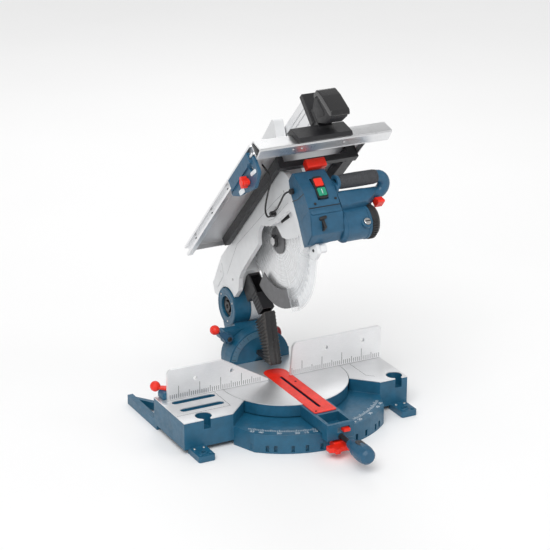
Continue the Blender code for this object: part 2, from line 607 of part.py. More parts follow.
def build_handle():
    axis = GRIP[1:]
    flange = prism(rounded([(-366, 206, 8), (-306, 176, 6), (-292, 196, 6), (-340, 240, 8)], 3),
                   "X", 40.4, 47)
    collar = turned([(0, 44), (17, 44), (15, 52), (0, 52)], "X", axis, 24)
    lower = prism(rounded([(-338, 180, 4), (-312, 180, 4), (-312, 198, 4), (-338, 198, 4)], 3),
                  "X", 44, 190)
    end = prism(hull_outline(axis, 16, (-325, 189), 11), "X", 154, 194)
    core = drum("X", axis, 9, 44, 160, 20)
    web = prism(rounded([(44, 179, 0), (140, 179, 10), (190, 196, 6), (190, 222, 8), (44, 216, 0)], 3),
                "Y", -313, -301)
    frame = fuse(flange, collar, lower, end, core, web)
    piece("handle_frame", "head", "blue", frame)
    grip = [(0, 52.4), (15.5, 52.4), (17, 60), (17.5, 100), (17, 146), (15.5, 153.6), (0, 153.6)]
    sleeve = carve(turned(grip, "X", axis, 28), drum("X", axis, 9.3, 40, 170, 24))
    piece("handle_grip", "head", "rubber", sleeve)
    lever = rounded([(-346, 160, 3), (-318, 158, 3), (-316, 177, 2), (-334, 177, 2)], 3)
    piece("release_trigger", "trigger", "red", prism(lever, "X", 141, 159))


def build_cable():
    """The short control lead between the head box and the rip table."""
    route = [(-53.6, -312, 236), (-58, -311, 236), (-61, -304, 236), (-60, -290, 237), (-54, -250, 238), (-47.3, -215, 242),
             (-47.3, -194, 245), (-47.3, -174, 245), (-48, -160, 252), (-50, -164, 265), (-54, -190, 275),
             (-60, -226, 281), (-66, -262, 286), (-72, -286, 297), (-80, -294, 311), (-84, -294, 323.6)]
    smooth = []
    for i in range(len(route) - 1):
        a, b = Vector(route[max(i - 1, 0)]), Vector(route[i])
        c, d = Vector(route[i + 1]), Vector(route[min(i + 2, len(route) - 1)])
        for k in range(3):
            t = k / 3
            smooth.append(0.5 * (2 * b + (c - a) * t + (2 * a - 5 * b + 4 * c - d) * t * t
                                 + (3 * b - a - 3 * c + d) * t ** 3))
    smooth.append(Vector(route[-1]))
    curve = bpy.data.curves.new("control_cable", "CURVE")
    curve.dimensions = "3D"
    curve.bevel_depth = 2.2 * MM
    curve.bevel_resolution = 2
    curve.use_fill_caps = True
    line = curve.splines.new("POLY")
    line.points.add(len(smooth) - 1)
    for point, place in zip(line.points, smooth):
        point.co = (*((place - Vector(PIVOT)) * MM), 1)
    curve.materials.append(material("black"))
    cable = bpy.data.objects.new("control_cable", curve)
    bpy.context.collection.objects.link(cable)
    cable.parent = BODIES["head"][0]


def build_chute():
    """The dust duct that follows the blade's rear edge."""
    duct = prism([(84, 119), (119, 119), (124, 168), (150, 170), (148, 206), (112, 222), (96, 222)],
                 "X", -20, 12)
    bore = prism([(89, 110), (114, 110), (119, 174), (143, 176), (141, 203), (108, 216), (90, 216)],
                 "X", -16, 8)
    ribs = [block(-21.5, -19, 88 + 0.9 * k, 118 + 0.4 * k, 124 + 9 * k, 127 + 9 * k) for k in range(6)]
    piece("upper_chute", "head", "black", carve(fuse(duct, *ribs), bore))


def build_rip_table():
    low = SHEET_TOP - SHEET_T
    x0, x1 = SHEET_X
    y0, y1 = SHEET_Y
    sheet = block(x0 + 16.3, x1, y0 + 34.3, y1, low, SHEET_TOP)
    fold = [block(x0 + 16.3, x1, y1 - 2.5, y1, low - 12, SHEET_TOP),
            block(x1 - 2.5, x1, y0 + 34.3, y1, low - 12, SHEET_TOP)]
    cut = block(-5, 5, -212, 80, 300, 340)
    piece("rip_table_sheet", "rip_table", "silver", carve(fuse(sheet, *fold), cut))
    top = low - GAP
    left = fuse(block(-58, -42, -322, 88, 303, top), block(-58, -42, -322, -304, 294, top))
    front = block(-58, 150, -322, -304, 294, 309)
    right = fuse(block(122, 150, -304, 88, 300, top), block(122, 150, -322, -300, 294, top))
    cross = block(-58, 150, 62, 88, 312.5, top)
    slide = block(23.1, 40, 62, 100, 240, top)
    frame = fuse(left, front, right, cross, slide)
    piece("rip_table_frame", "rip_table", "black", frame)
    back = y0 + 34
    rail = rounded([(back, 286, 1), (back, SHEET_TOP, 1), (back - 15, SHEET_TOP, 2), (y0, 294, 2),
                    (y0 + 3, 290, 1), (back - 6, 286, 1)], 3)
    hollow = [(back - 3, 289.5), (back - 3, SHEET_TOP - 3), (back - 13, SHEET_TOP - 3), (y0 + 5, 294.5),
              (back - 6, 289.5)]
    bar = prism(rail, "X", x0 + 5, 191)
    piece("front_rail", "rip_table", "silver", carve(bar, prism(hollow, "X", -200, 220)))
    side = rounded([(x0, SHEET_TOP - RAIL_H, 2), (x0 + 16, SHEET_TOP - RAIL_H, 2),
                    (x0 + 16, SHEET_TOP, 1), (x0, SHEET_TOP, 2)], 3)
    bar = prism(side, "Y", y0 + 34.3, y1)
    channel = block(x0 - 5, x0 + 9, y0, y1 + 10, 307, 321)
    piece("left_rail", "rip_table", "silver", carve(bar, channel))
    hood = rounded([(-250, 335, 4), (64, 335, 4), (64, 412, 8), (-292, 441, 6)], 3)
    room = [(-244, 330), (58, 330), (58, 405), (-282, 434)]
    shell = carve(prism(hood, "X", -HOOD_HALF, HOOD_HALF), prism(room, "X", -10, 10))
    piece("blade_hood", "rip_table", "white", fuse(shell, block(-11, 11, 40, 58, 388, 406)))
    knife = [(40, 319), (57, 319), (57, 370), (50, 387), (30, 387), (30, 350)]
    piece("riving_knife", "rip_table", "steel", prism(knife, "X", -1.1, 1.1))


def build_rip_fence():
    section = rounded([(15, 328, 1), (53, 328, 1), (53, 420, 2), (15, 420, 2)], 2)
    fence = prism(section, "Y", -399, 92)
    rooms = [block(18, 50, -420, 120, 331, 371), block(18, 50, -420, 120, 375, 417)]
    grooves = [block(10, 17, -420, 120, z, z + 3) for z in (346, 358, 386, 398)]
    piece("rip_fence", "rip_fence", "silver", carve(fence, together(rooms), together(grooves)))
    bar = prism([(-435, 293.3), (-415.6, 327.5), (-404, 327.6), (-404, 339), (-424, 339), (-446, 301),
                 (-443, 292)], "X", -54, 84)
    stem = fuse(block(16, 52, -428, -402, 330, 380), block(12, 56, -414, -399.4, 350, 428))
    piece("rip_fence_base", "rip_fence", "black", fuse(bar, stem))
    lever = rounded([(-485, 398, 9), (-462, 397, 6), (-431, 376, 4), (-432, 340, 4), (-462, 320, 5),
                     (-503, 313, 3), (-510, 324, 5), (-497, 372, 20)], 4)
    piece("rip_fence_lever", "rip_clamp", "black", prism(lever, "X", 12, 60))


def build_gauge():
    """The angle gauge that hangs in the left rail, with its two curved slots."""
    plate = rounded([(-396, 300.4, 4), (-236, 300.4, 4), (-232, 286, 6), (-262, 268, 14), (-352, 240, 16),
                     (-396, 256, 12)], 4)
    shape = prism(plate, "X", -154, -146)
    pivot = (-332, 268)
    cuts = [prism(arc(pivot, 46, 150 + s, 190 + s, 8) + arc(pivot, 34, 190 + s, 150 + s, 8), "X", -160, -140)
            for s in (-6, 168)]
    body = fuse(shape, block(-159, -147, -380, -250, 290, 300.2), block(-159, -155.4, -380, -250, 290, 318),
                block(-159, -150, -380, -250, 309, 318))
    piece("angle_gauge", "gauge", "blue", carve(body, *cuts, drum("X", pivot, 4.3, -170, -140, 16)))
    lobes = fuse(drum("X", pivot, 9, -172, -154.4, 20),
                 *[drum("X", (pivot[0] + 9 * math.cos(a), pivot[1] + 9 * math.sin(a)), 6, -170, -156, 16)
                   for a in (math.radians(90), math.radians(210), math.radians(330))],
                 drum("X", pivot, 4, -160, -142, 16))
    piece("gauge_knob", "gauge_knob", "red", lobes)


def main():
    for old in list(bpy.data.objects):
        bpy.data.objects.remove(old)
    add_bodies()
    build_base()
    build_turntable()
    build_locks()
    build_tilt()
    build_head()
    build_handle()
    build_cable()
    build_chute()
    build_rip_table()
    build_rip_fence()
    build_gauge()


main()
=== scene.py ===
"""Looks for the combined mitre and table saw.

Finishes, engraved scales, screws, ribs, bellows, handle, cable and a studio.
"""

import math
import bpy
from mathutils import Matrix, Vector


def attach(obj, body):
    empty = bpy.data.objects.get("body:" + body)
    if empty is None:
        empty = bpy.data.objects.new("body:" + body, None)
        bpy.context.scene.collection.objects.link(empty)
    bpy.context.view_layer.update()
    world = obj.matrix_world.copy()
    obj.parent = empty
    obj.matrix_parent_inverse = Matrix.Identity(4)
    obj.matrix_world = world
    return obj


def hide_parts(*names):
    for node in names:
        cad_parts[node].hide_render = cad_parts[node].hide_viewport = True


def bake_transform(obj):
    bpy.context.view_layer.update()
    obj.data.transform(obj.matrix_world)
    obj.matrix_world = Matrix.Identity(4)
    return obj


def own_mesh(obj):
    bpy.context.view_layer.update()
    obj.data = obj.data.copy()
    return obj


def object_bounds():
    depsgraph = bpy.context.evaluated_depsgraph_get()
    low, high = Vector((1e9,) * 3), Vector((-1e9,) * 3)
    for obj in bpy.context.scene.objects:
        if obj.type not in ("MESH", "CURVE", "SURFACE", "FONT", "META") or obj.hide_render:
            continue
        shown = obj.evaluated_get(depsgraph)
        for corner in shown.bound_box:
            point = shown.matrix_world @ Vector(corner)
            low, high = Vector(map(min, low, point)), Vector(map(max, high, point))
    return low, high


bl_info = {
    "name": "Mitre and Table Saw",
    "version": (1, 0, 0),
    "blender": (4, 5, 0),
    "location": "3D View > Sidebar > Saw",
    "description": "Dresses a jointed mitre saw with its finishes, scales, screws and studio",
    "category": "Object",
}

import bmesh
import bpy
from mathutils import Matrix, Vector

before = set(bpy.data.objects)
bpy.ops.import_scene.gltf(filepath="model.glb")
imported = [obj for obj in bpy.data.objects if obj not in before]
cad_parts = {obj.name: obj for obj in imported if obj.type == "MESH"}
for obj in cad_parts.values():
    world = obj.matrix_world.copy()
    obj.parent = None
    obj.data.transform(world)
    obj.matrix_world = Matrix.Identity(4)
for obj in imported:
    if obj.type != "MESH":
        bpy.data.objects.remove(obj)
CAD_LOW, CAD_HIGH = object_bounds()

MM = 0.001
PIVOT = Vector((0.0, 0.228, 0.199))
HEAD_LIFT = Matrix.Translation(PIVOT) @ Matrix.Rotation(math.radians(-45), 4, "X") @ Matrix.Translation(-PIVOT)
REST = Matrix.Identity(4)

# Places in millimetres, as the head would lie when lowered, seen along the axis that each part turns about.
BLADE_AT = (-84.5, 219)
MOTOR_AT = (-300, 137)
BRUSH_AT = (97, 119)
PIVOT_AT = (228, 199)
CLAMP_AT = (-78, 149)
TILT_HEIGHT = 81
ARM_SIDE = -38
BOX_SIDE = -42
GAUGE_SIDE = -154


# ---------------------------------------------------------------- settings


def colour_setting(name, description, default):
    return bpy.props.FloatVectorProperty(
        name=name, description=description, default=default, subtype="COLOR", size=4, min=0.0, max=1.0
    )


def length_setting(name, description, default):
    return bpy.props.FloatProperty(
        name=name, description=description, default=default, unit="LENGTH", subtype="DISTANCE", min=0.0
    )


class SawColours(bpy.types.PropertyGroup):
    """The colours of the saw's finishes."""

    paint: colour_setting("Casting paint", "Blue paint of the castings", (0.009, 0.098, 0.18, 1))
    moulding: colour_setting("Blue moulding", "Blue of the moulded covers", (0.014, 0.09, 0.17, 1))
    signal: colour_setting("Signal red", "Red of the controls", (0.85, 0.022, 0.006, 1))
    start: colour_setting("Start green", "Green of the start button", (0.012, 0.3, 0.17, 1))
    black: colour_setting("Black", "Black mouldings and blackened steel", (0.014, 0.014, 0.016, 1))
    alloy: colour_setting("Alloy", "Bare aluminium", (0.86, 0.865, 0.875, 1))
    arm: colour_setting("Arm paint", "Light silver paint of the saw arm", (0.78, 0.79, 0.8, 1))
    grip: colour_setting("Grip", "Stippled rubber of the handle", (0.05, 0.052, 0.058, 1))
    floor: colour_setting("Floor", "Pale studio floor", (0.97, 0.97, 0.97, 1))


class SawSizes(bpy.types.PropertyGroup):
    """The sizes of small details."""

    edge: length_setting("Edge rounding", "Radius on the edges of castings", 0.0009)
    fine_edge: length_setting("Fine edge", "Radius on the edges of sheet and bar parts", 0.0004)
    cable: length_setting("Control cable", "Diameter of the control cable", 0.0044)
    tick: length_setting("Scale line", "Width of an engraved scale line", 0.00105)


# ---------------------------------------------------------------- finishes


class Finish:
    """A node material being put together."""

    def __init__(self, name, **shader):
        self.material = bpy.data.materials.new(name)
        self.material.use_nodes = True
        self.tree = self.material.node_tree
        self.tree.nodes.clear()
        self.shader = self.tree.nodes.new("ShaderNodeBsdfPrincipled")
        output = self.tree.nodes.new("ShaderNodeOutputMaterial")
        self.tree.links.new(self.shader.outputs[0], output.inputs["Surface"])
        self.place = self.tree.nodes.new("ShaderNodeTexCoord").outputs["Object"]
        for key, value in shader.items():
            self.shader.inputs[key.replace("_", " ")].default_value = value

    def node(self, kind, inputs=(), **settings):
        made = self.tree.nodes.new(kind)
        for key, value in settings.items():
            setattr(made, key, value)
        for key, value in dict(inputs).items():
            self.put(made.inputs[key], value)
        return made

    def put(self, socket, value):
        if isinstance(value, bpy.types.NodeSocket):
            self.tree.links.new(value, socket)
        else:
            socket.default_value = value

    def stretched(self, scale):
        return self.node("ShaderNodeMapping", {"Vector": self.place, "Scale": scale}).outputs[0]

    def noise(self, scale, detail=3.0, roughness=0.55, where=None):
        inputs = {"Vector": where or self.place, "Scale": scale, "Detail": detail, "Roughness": roughness}
        return self.node("ShaderNodeTexNoise", inputs).outputs["Fac"]

    def ramp(self, value, low, high, start=0.0, end=1.0):
        """Maps value from [start, end] to [low, high], where low and high are numbers or colours."""
        if isinstance(low, (int, float)):
            inputs = {"Value": value, "From Min": start, "From Max": end, "To Min": low, "To Max": high}
            return self.node("ShaderNodeMapRange", inputs).outputs[0]
        made = self.node("ShaderNodeValToRGB", {"Fac": value})
        made.color_ramp.elements[0].position, made.color_ramp.elements[1].position = start, end
        made.color_ramp.elements[0].color, made.color_ramp.elements[1].color = low, high
        return made.outputs["Color"]

    def mix(self, share, first, second):
        """Mixes two colours; sockets 6, 7 and 2 are the colour ones."""
        made = self.node("ShaderNodeMix", data_type="RGBA")
        self.put(made.inputs["Factor"], share)
        self.put(made.inputs[6], first)
        self.put(made.inputs[7], second)
        return made.outputs[2]

    def maths(self, operation, first, second=0.0, clamp=False):
        made = self.node("ShaderNodeMath", operation=operation, use_clamp=clamp)
        self.put(made.inputs[0], first)
        self.put(made.inputs[1], second)
        return made.outputs[0]

    def edges(self, radius, start=0.02, end=0.25):
        """About 1 on sharp edges and 0 elsewhere."""
        soft = self.node("ShaderNodeBevel", {"Radius": radius}, samples=6).outputs[0]
        true = self.node("ShaderNodeNewGeometry").outputs["Normal"]
        dot = self.node("ShaderNodeVectorMath", operation="DOT_PRODUCT")
        self.put(dot.inputs[0], soft)
        self.put(dot.inputs[1], true)
        return self.ramp(self.maths("SUBTRACT", 1.0, dot.outputs["Value"]), 0.0, 1.0, start, end)

    def bump(self, height, strength, distance=0.0005, normal=None):
        inputs = {"Height": height, "Strength": strength, "Distance": distance}
        if normal:
            inputs["Normal"] = normal
        return self.node("ShaderNodeBump", inputs).outputs[0]

    def rounding(self, radius):
        return self.node("ShaderNodeBevel", {"Radius": radius}, samples=4).outputs[0]

    def use(self, **sockets):
        for key, value in sockets.items():
            self.put(self.shader.inputs[key.replace("_", " ")], value)
        return self.material


def shade(colour, factor):
    return tuple(min(1.0, c * factor) for c in colour[:3]) + (1.0,)


def cast_paint(name, colour, roughness=0.4, mottling=0.14):
    """Satin paint over a die casting: faint orange peel, slight mottling, and edges painted paler, partly as rubbed
    wear and partly as a painted highlight.
    """
    f = Finish(name, Coat_Weight=0.18, Coat_Roughness=0.25, Specular_IOR_Level=0.5)
    mottle = f.noise(38.0, 4.0)
    base = f.ramp(mottle, shade(colour, 1 - mottling), shade(colour, 1 + mottling), 0.3, 0.7)
    # Edges are mixed towards a paler colour, partly as rubbed wear and partly as a painted highlight along the
    # edges.
    edge_wear_and_highlight = f.maths("MULTIPLY", f.edges(0.0016), f.ramp(f.noise(160.0), 0.25, 0.8, 0.35, 0.65))
    wear_and_highlight_colour = tuple(0.7 * c + 0.13 for c in colour[:3]) + (1.0,)
    peel = f.maths("ADD", f.noise(620.0, 2.0), f.maths("MULTIPLY", f.noise(2600.0, 1.0), 0.35))
    return f.use(
        Base_Color=f.mix(f.maths("MULTIPLY", edge_wear_and_highlight, 0.55), base, wear_and_highlight_colour),
        Roughness=f.ramp(f.noise(90.0), roughness - 0.06, roughness + 0.1, 0.3, 0.7),
        Normal=f.bump(peel, 0.16, 0.0006, f.rounding(0.0011)),
    )


def moulded(name, colour, roughness=0.45, grain=1500.0, depth=0.12, edge=0.3, coat=0.0):
    """Injection-moulded plastic with a fine spark-eroded texture, and edges painted paler, partly as slight polish
    wear and partly as a painted highlight.
    """
    f = Finish(name, Coat_Weight=coat, Coat_Roughness=0.12)
    base = f.ramp(f.noise(55.0, 3.0), shade(colour, 0.9), shade(colour, 1.12), 0.3, 0.7)
    # The pale edge colour and its edge mask are partly polish wear and partly a painted highlight along the edges.
    pale = tuple(0.85 * c + 0.07 for c in colour[:3]) + (1.0,)
    edge_wear_and_highlight = f.maths("MULTIPLY", f.edges(0.001), edge)
    return f.use(
        Base_Color=f.mix(edge_wear_and_highlight, base, pale),
        Roughness=f.ramp(f.noise(140.0), roughness - 0.05, roughness + 0.08, 0.3, 0.7),
        Normal=f.bump(f.noise(grain, 2.0), depth, 0.0004, f.rounding(0.0008)),
    )


def brushed(name, colour, along=(1.0, 40.0, 40.0), roughness=0.32, metallic=1.0, depth=0.08, mark=0.12, edge=0.35):
    """Bare metal brushed or milled along one direction, with fine scratches, a few dull patches and edges painted
    near white as a painted highlight.
    """
    f = Finish(name, Metallic=metallic, Anisotropic=0.35)
    streak = f.noise(60.0, 5.0, 0.7, f.stretched(along))
    cloud = f.noise(14.0, 3.0)
    tone = f.maths("ADD", f.maths("MULTIPLY", streak, 0.6), f.maths("MULTIPLY", cloud, 0.4))
    base = f.ramp(tone, shade(colour, 1.0 - mark), shade(colour, 1.0 + mark * 0.5), 0.32, 0.68)
    # Edges are painted near white as a painted highlight.
    edge_highlight = f.maths("MULTIPLY", f.edges(0.0009), edge)
    return f.use(
        Base_Color=f.mix(edge_highlight, base, (0.95, 0.95, 0.96, 1.0)),
        Roughness=f.ramp(tone, roughness - 0.07, roughness + 0.1, 0.3, 0.7),
        Normal=f.bump(streak, depth, 0.0003, f.rounding(0.0006)),
    )


def circular_brushing(name, colour, centre, roughness=0.24):
    """Ground steel whose scratches run round a centre on the X axis, with a painted radial sheen that brightens and
    darkens the colour by angle.
    """
    f = Finish(name, Metallic=0.55)
    moved = f.node("ShaderNodeVectorMath", operation="SUBTRACT")
    f.put(moved.inputs[0], f.place)
    moved.inputs[1].default_value = centre
    split = f.node("ShaderNodeSeparateXYZ", {"Vector": moved.outputs[0]})
    radius = f.node("ShaderNodeVectorMath", operation="LENGTH")
    flat = f.node("ShaderNodeCombineXYZ", {"Y": split.outputs["Y"], "Z": split.outputs["Z"]})
    f.put(radius.inputs[0], flat.outputs[0])
    angle = f.maths("ARCTAN2", split.outputs["Z"], split.outputs["Y"])
    spun = f.node("ShaderNodeCombineXYZ", {"X": f.maths("MULTIPLY", radius.outputs["Value"], 900.0), "Y": angle})
    rings = f.noise(1.0, 3.0, 0.6, spun.outputs[0])
    # A tone that varies by angle alone is a painted radial sheen; the tone mixes it with the real ring scratches.
    painted_radial_sheen = f.noise(1.0, 2.0, 0.5, f.node("ShaderNodeCombineXYZ", {"Y": f.maths("MULTIPLY", angle, 2.2)}).outputs[0])
    tone = f.maths("ADD", f.maths("MULTIPLY", rings, 0.45), f.maths("MULTIPLY", painted_radial_sheen, 0.55))
    return f.use(
        Base_Color=f.ramp(tone, shade(colour, 0.84), shade(colour, 1.02), 0.35, 0.68),
        Roughness=f.ramp(tone, roughness - 0.05, roughness + 0.1, 0.3, 0.7),
        Normal=f.bump(rings, 0.06, 0.0002),
    )


def stippled_rubber(name, colour):
    """Soft grip rubber with a raised stipple, whose dot tops are painted lighter and the hollows between them
    darker, as painted light and shade.
    """
    f = Finish(name, Roughness=0.62)
    dots = f.node("ShaderNodeTexVoronoi", {"Vector": f.place, "Scale": 620.0}, feature="F1").outputs["Distance"]
    # Dot tops painted lighter and the hollows between them darker, as painted light and shade.
    base = f.ramp(dots, shade(colour, 1.7), shade(colour, 0.6), 0.1, 0.6)
    return f.use(Base_Color=base, Normal=f.bump(f.maths("SUBTRACT", 1.0, dots), 0.7, 0.0006, f.rounding(0.0015)))


def soft_rubber(name, colour):
    """Plain matt rubber with a dusty bloom."""
    f = Finish(name)
    bloom = f.noise(70.0, 4.0)
    return f.use(
        Base_Color=f.ramp(bloom, shade(colour, 0.8), shade(colour, 1.5), 0.3, 0.75),
        Roughness=f.ramp(bloom, 0.5, 0.7, 0.3, 0.7),
        Normal=f.bump(f.noise(900.0, 2.0), 0.1, 0.0004, f.rounding(0.0006)),
    )


def clear_moulding(name):
    """Clear polycarbonate with faint scuffs, and a painted highlight that makes the edges more opaque and so paler.
    """
    f = Finish(name, Transmission_Weight=0.0, IOR=1.45, Coat_Weight=0.4, Coat_Roughness=0.05)
    scuff = f.noise(45.0, 3.0)
    # The rim is a painted highlight: edges made more opaque and so paler.
    rim_highlight = f.edges(0.0022, 0.02, 0.3)
    return f.use(
        Base_Color=f.ramp(scuff, (0.8, 0.83, 0.86, 1), (0.9, 0.92, 0.94, 1), 0.35, 0.65),
        Roughness=f.ramp(scuff, 0.08, 0.25, 0.3, 0.7),
        Alpha=f.maths("ADD", f.ramp(scuff, 0.16, 0.24, 0.3, 0.7), f.maths("MULTIPLY", rim_highlight, 0.6), clamp=True),
        Normal=f.bump(scuff, 0.05, 0.0003, f.rounding(0.001)),
    )


def make_finishes():
    """All the finishes by the record's slot names."""
    c = bpy.context.scene.saw_colours
    black, alloy = tuple(c.black), tuple(c.alloy)
    blade_middle = HEAD_LIFT @ (Vector((0, *BLADE_AT)) * MM)
    return {
        "blue_casting": cast_paint("casting_paint", tuple(c.paint)),
        "machined_alloy": brushed("milled_alloy", alloy, (3.0, 40.0, 40.0), 0.34, 0.75),
        "fence_alloy": brushed("fence_alloy", alloy, (2.0, 40.0, 60.0), 0.36, 0.5),
        "arm_alloy": cast_paint("arm_paint", tuple(c.arm), 0.42, 0.035),
        "extrusion": brushed("anodised_extrusion", shade(alloy, 1.02), (50.0, 1.5, 50.0), 0.3, 0.9),
        "sheet_alloy": brushed("rolled_sheet", shade(alloy, 0.8), (60.0, 2.0, 2.0), 0.42, 0.9),
        "steel": brushed("turned_steel", (0.6, 0.6, 0.6, 1), (10.0, 10.0, 10.0), 0.28),
        "black_steel": moulded("blackened_steel", black, 0.4, 700.0, 0.1, 0.5),
        "grey_steel": moulded("phosphated_steel", (0.12, 0.12, 0.125, 1), 0.42, 500.0, 0.1, 0.4),
        "blade_steel": circular_brushing("ground_blade", (0.8, 0.81, 0.82, 1), blade_middle),
        "blue_plastic": moulded("blue_moulding", tuple(c.moulding), 0.42, 1500.0, 0.1, 0.35, 0.1),
        "black_plastic": moulded("black_moulding", black, 0.45),
        "grey_plastic": moulded("grey_moulding", (0.1, 0.1, 0.105, 1), 0.45),
        "gloss_black": moulded("polished_black", (0.012, 0.012, 0.013, 1), 0.2, 900.0, 0.03, 0.25, 0.5),
        "red_plastic": moulded("red_moulding", tuple(c.signal), 0.4, 1200.0, 0.08, 0.2, 0.1),
        "red_button": moulded("red_button", tuple(c.signal), 0.3, 1200.0, 0.05, 0.2, 0.3),
        "green_button": moulded("green_button", tuple(c.start), 0.3, 1200.0, 0.05, 0.2, 0.3),
        "rubber": soft_rubber("soft_rubber", (0.02, 0.02, 0.021, 1)),
        "grip_rubber": stippled_rubber("stippled_grip", tuple(c.grip)),
        "clear_plastic": clear_moulding("clear_guard"),
        "bevel_band": cast_paint("bevel_band_paint", (0.07, 0.17, 0.25, 1), 0.36),
        "rail_alloy": brushed("rail_alloy", shade(alloy, 0.95), (1.5, 60.0, 60.0), 0.3, 0.95),
        "dark_red": moulded("dark_red_knob", (0.3, 0.008, 0.012, 1), 0.35),
        "bellows": moulded("bellows_rubber", (0.06, 0.056, 0.053, 1), 0.5, 500.0, 0.1, 0.5),
        "ink": moulded("engraved_ink", (0.02, 0.02, 0.022, 1), 0.5),
        # A grey painted shadow for the arm's panel grooves, drawn as flat strips.
        "shadow_line": moulded("groove_shadow_paint", (0.33, 0.34, 0.35, 1), 0.6),
        "scale_white": moulded("scale_paint", (0.78, 0.82, 0.85, 1), 0.5),
    }


FINISHES = {}


def finish(slot):
    """The finish of a name, made the first time that one is asked for."""
    if not FINISHES:
        FINISHES.update(make_finishes())
    return FINISHES[slot]


SLOT_OF = {
    "blue_casting": "base_casting turntable_casting tilt_casting fence_bracket_left fence_bracket_right",
    "machined_alloy": "left_table_plate right_table_plate turntable_top",
    "bevel_band": "bevel_scale",
    "fence_alloy": "fence_left fence_right",
    "arm_alloy": "head_arm blade_hood",
    "extrusion": "left_rail rip_fence",
    "rail_alloy": "front_rail",
    "sheet_alloy": "rip_table_sheet",
    "steel": "riving_knife arbor_shaft motor_rotor inner_flange centre_pivot_bolt brush_cap",
    "black_steel": "rip_table_frame rip_fence_base mitre_lock_rod cable_clip head_pivot_bolt",
    "grey_steel": "outer_flange rear_guard",
    "blade_steel": "blade",
    "blue_plastic": "head_box motor_housing mitre_lock_knob angle_gauge belt_cover handle_frame bevel_clamp_lever",
    "black_plastic": "motor_end_cap switch_bezel cable_gland upper_chute",
    "gloss_black": "rip_fence_lever",
    "red_plastic": "kerf_plate detent_release_lever release_bar release_trigger gauge_knob bevel_clamp_ball "
    "fence_clamp_lever angle_pointer",
    "dark_red": "bevel_stop_pin",
    "red_button": "off_button",
    "green_button": "on_button",
    "rubber": "dust_bellows control_cable drive_belt",
    "grip_rubber": "handle_grip",
    "clear_plastic": "front_guard",
}
FINE = (
    "left_table_plate right_table_plate turntable_top fence_left fence_right kerf_plate bevel_scale blade "
    "rip_table_sheet front_guard rear_guard riving_knife drive_belt left_rail rip_fence on_button off_button"
).split()


def dress(node, slot, edge):
    """A CAD node keeps its mesh, and gets its finish and finely rounded edges."""
    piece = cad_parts[node]
    piece.data.materials.clear()
    piece.data.materials.append(finish(slot))
    weld = piece.modifiers.new("weld", "WELD")
    weld.merge_threshold = 0.000005
    flat = piece.modifiers.new("flat_faces", "DECIMATE")
    flat.decimate_type, flat.angle_limit = "DISSOLVE", math.radians(0.4)
    if edge:
        rounding = piece.modifiers.new("rounding", "BEVEL")
        rounding.width, rounding.segments, rounding.limit_method = edge, 2, "ANGLE"
        rounding.angle_limit, rounding.use_clamp_overlap = math.radians(32), True
        rounding.harden_normals = False
    weighted = piece.modifiers.new("shading", "WEIGHTED_NORMAL")
    weighted.keep_sharp = True


# ---------------------------------------------------------------- shapes

PLANES = {"X": (1, 2, 0), "Y": (0, 2, 1), "Z": (0, 1, 2)}


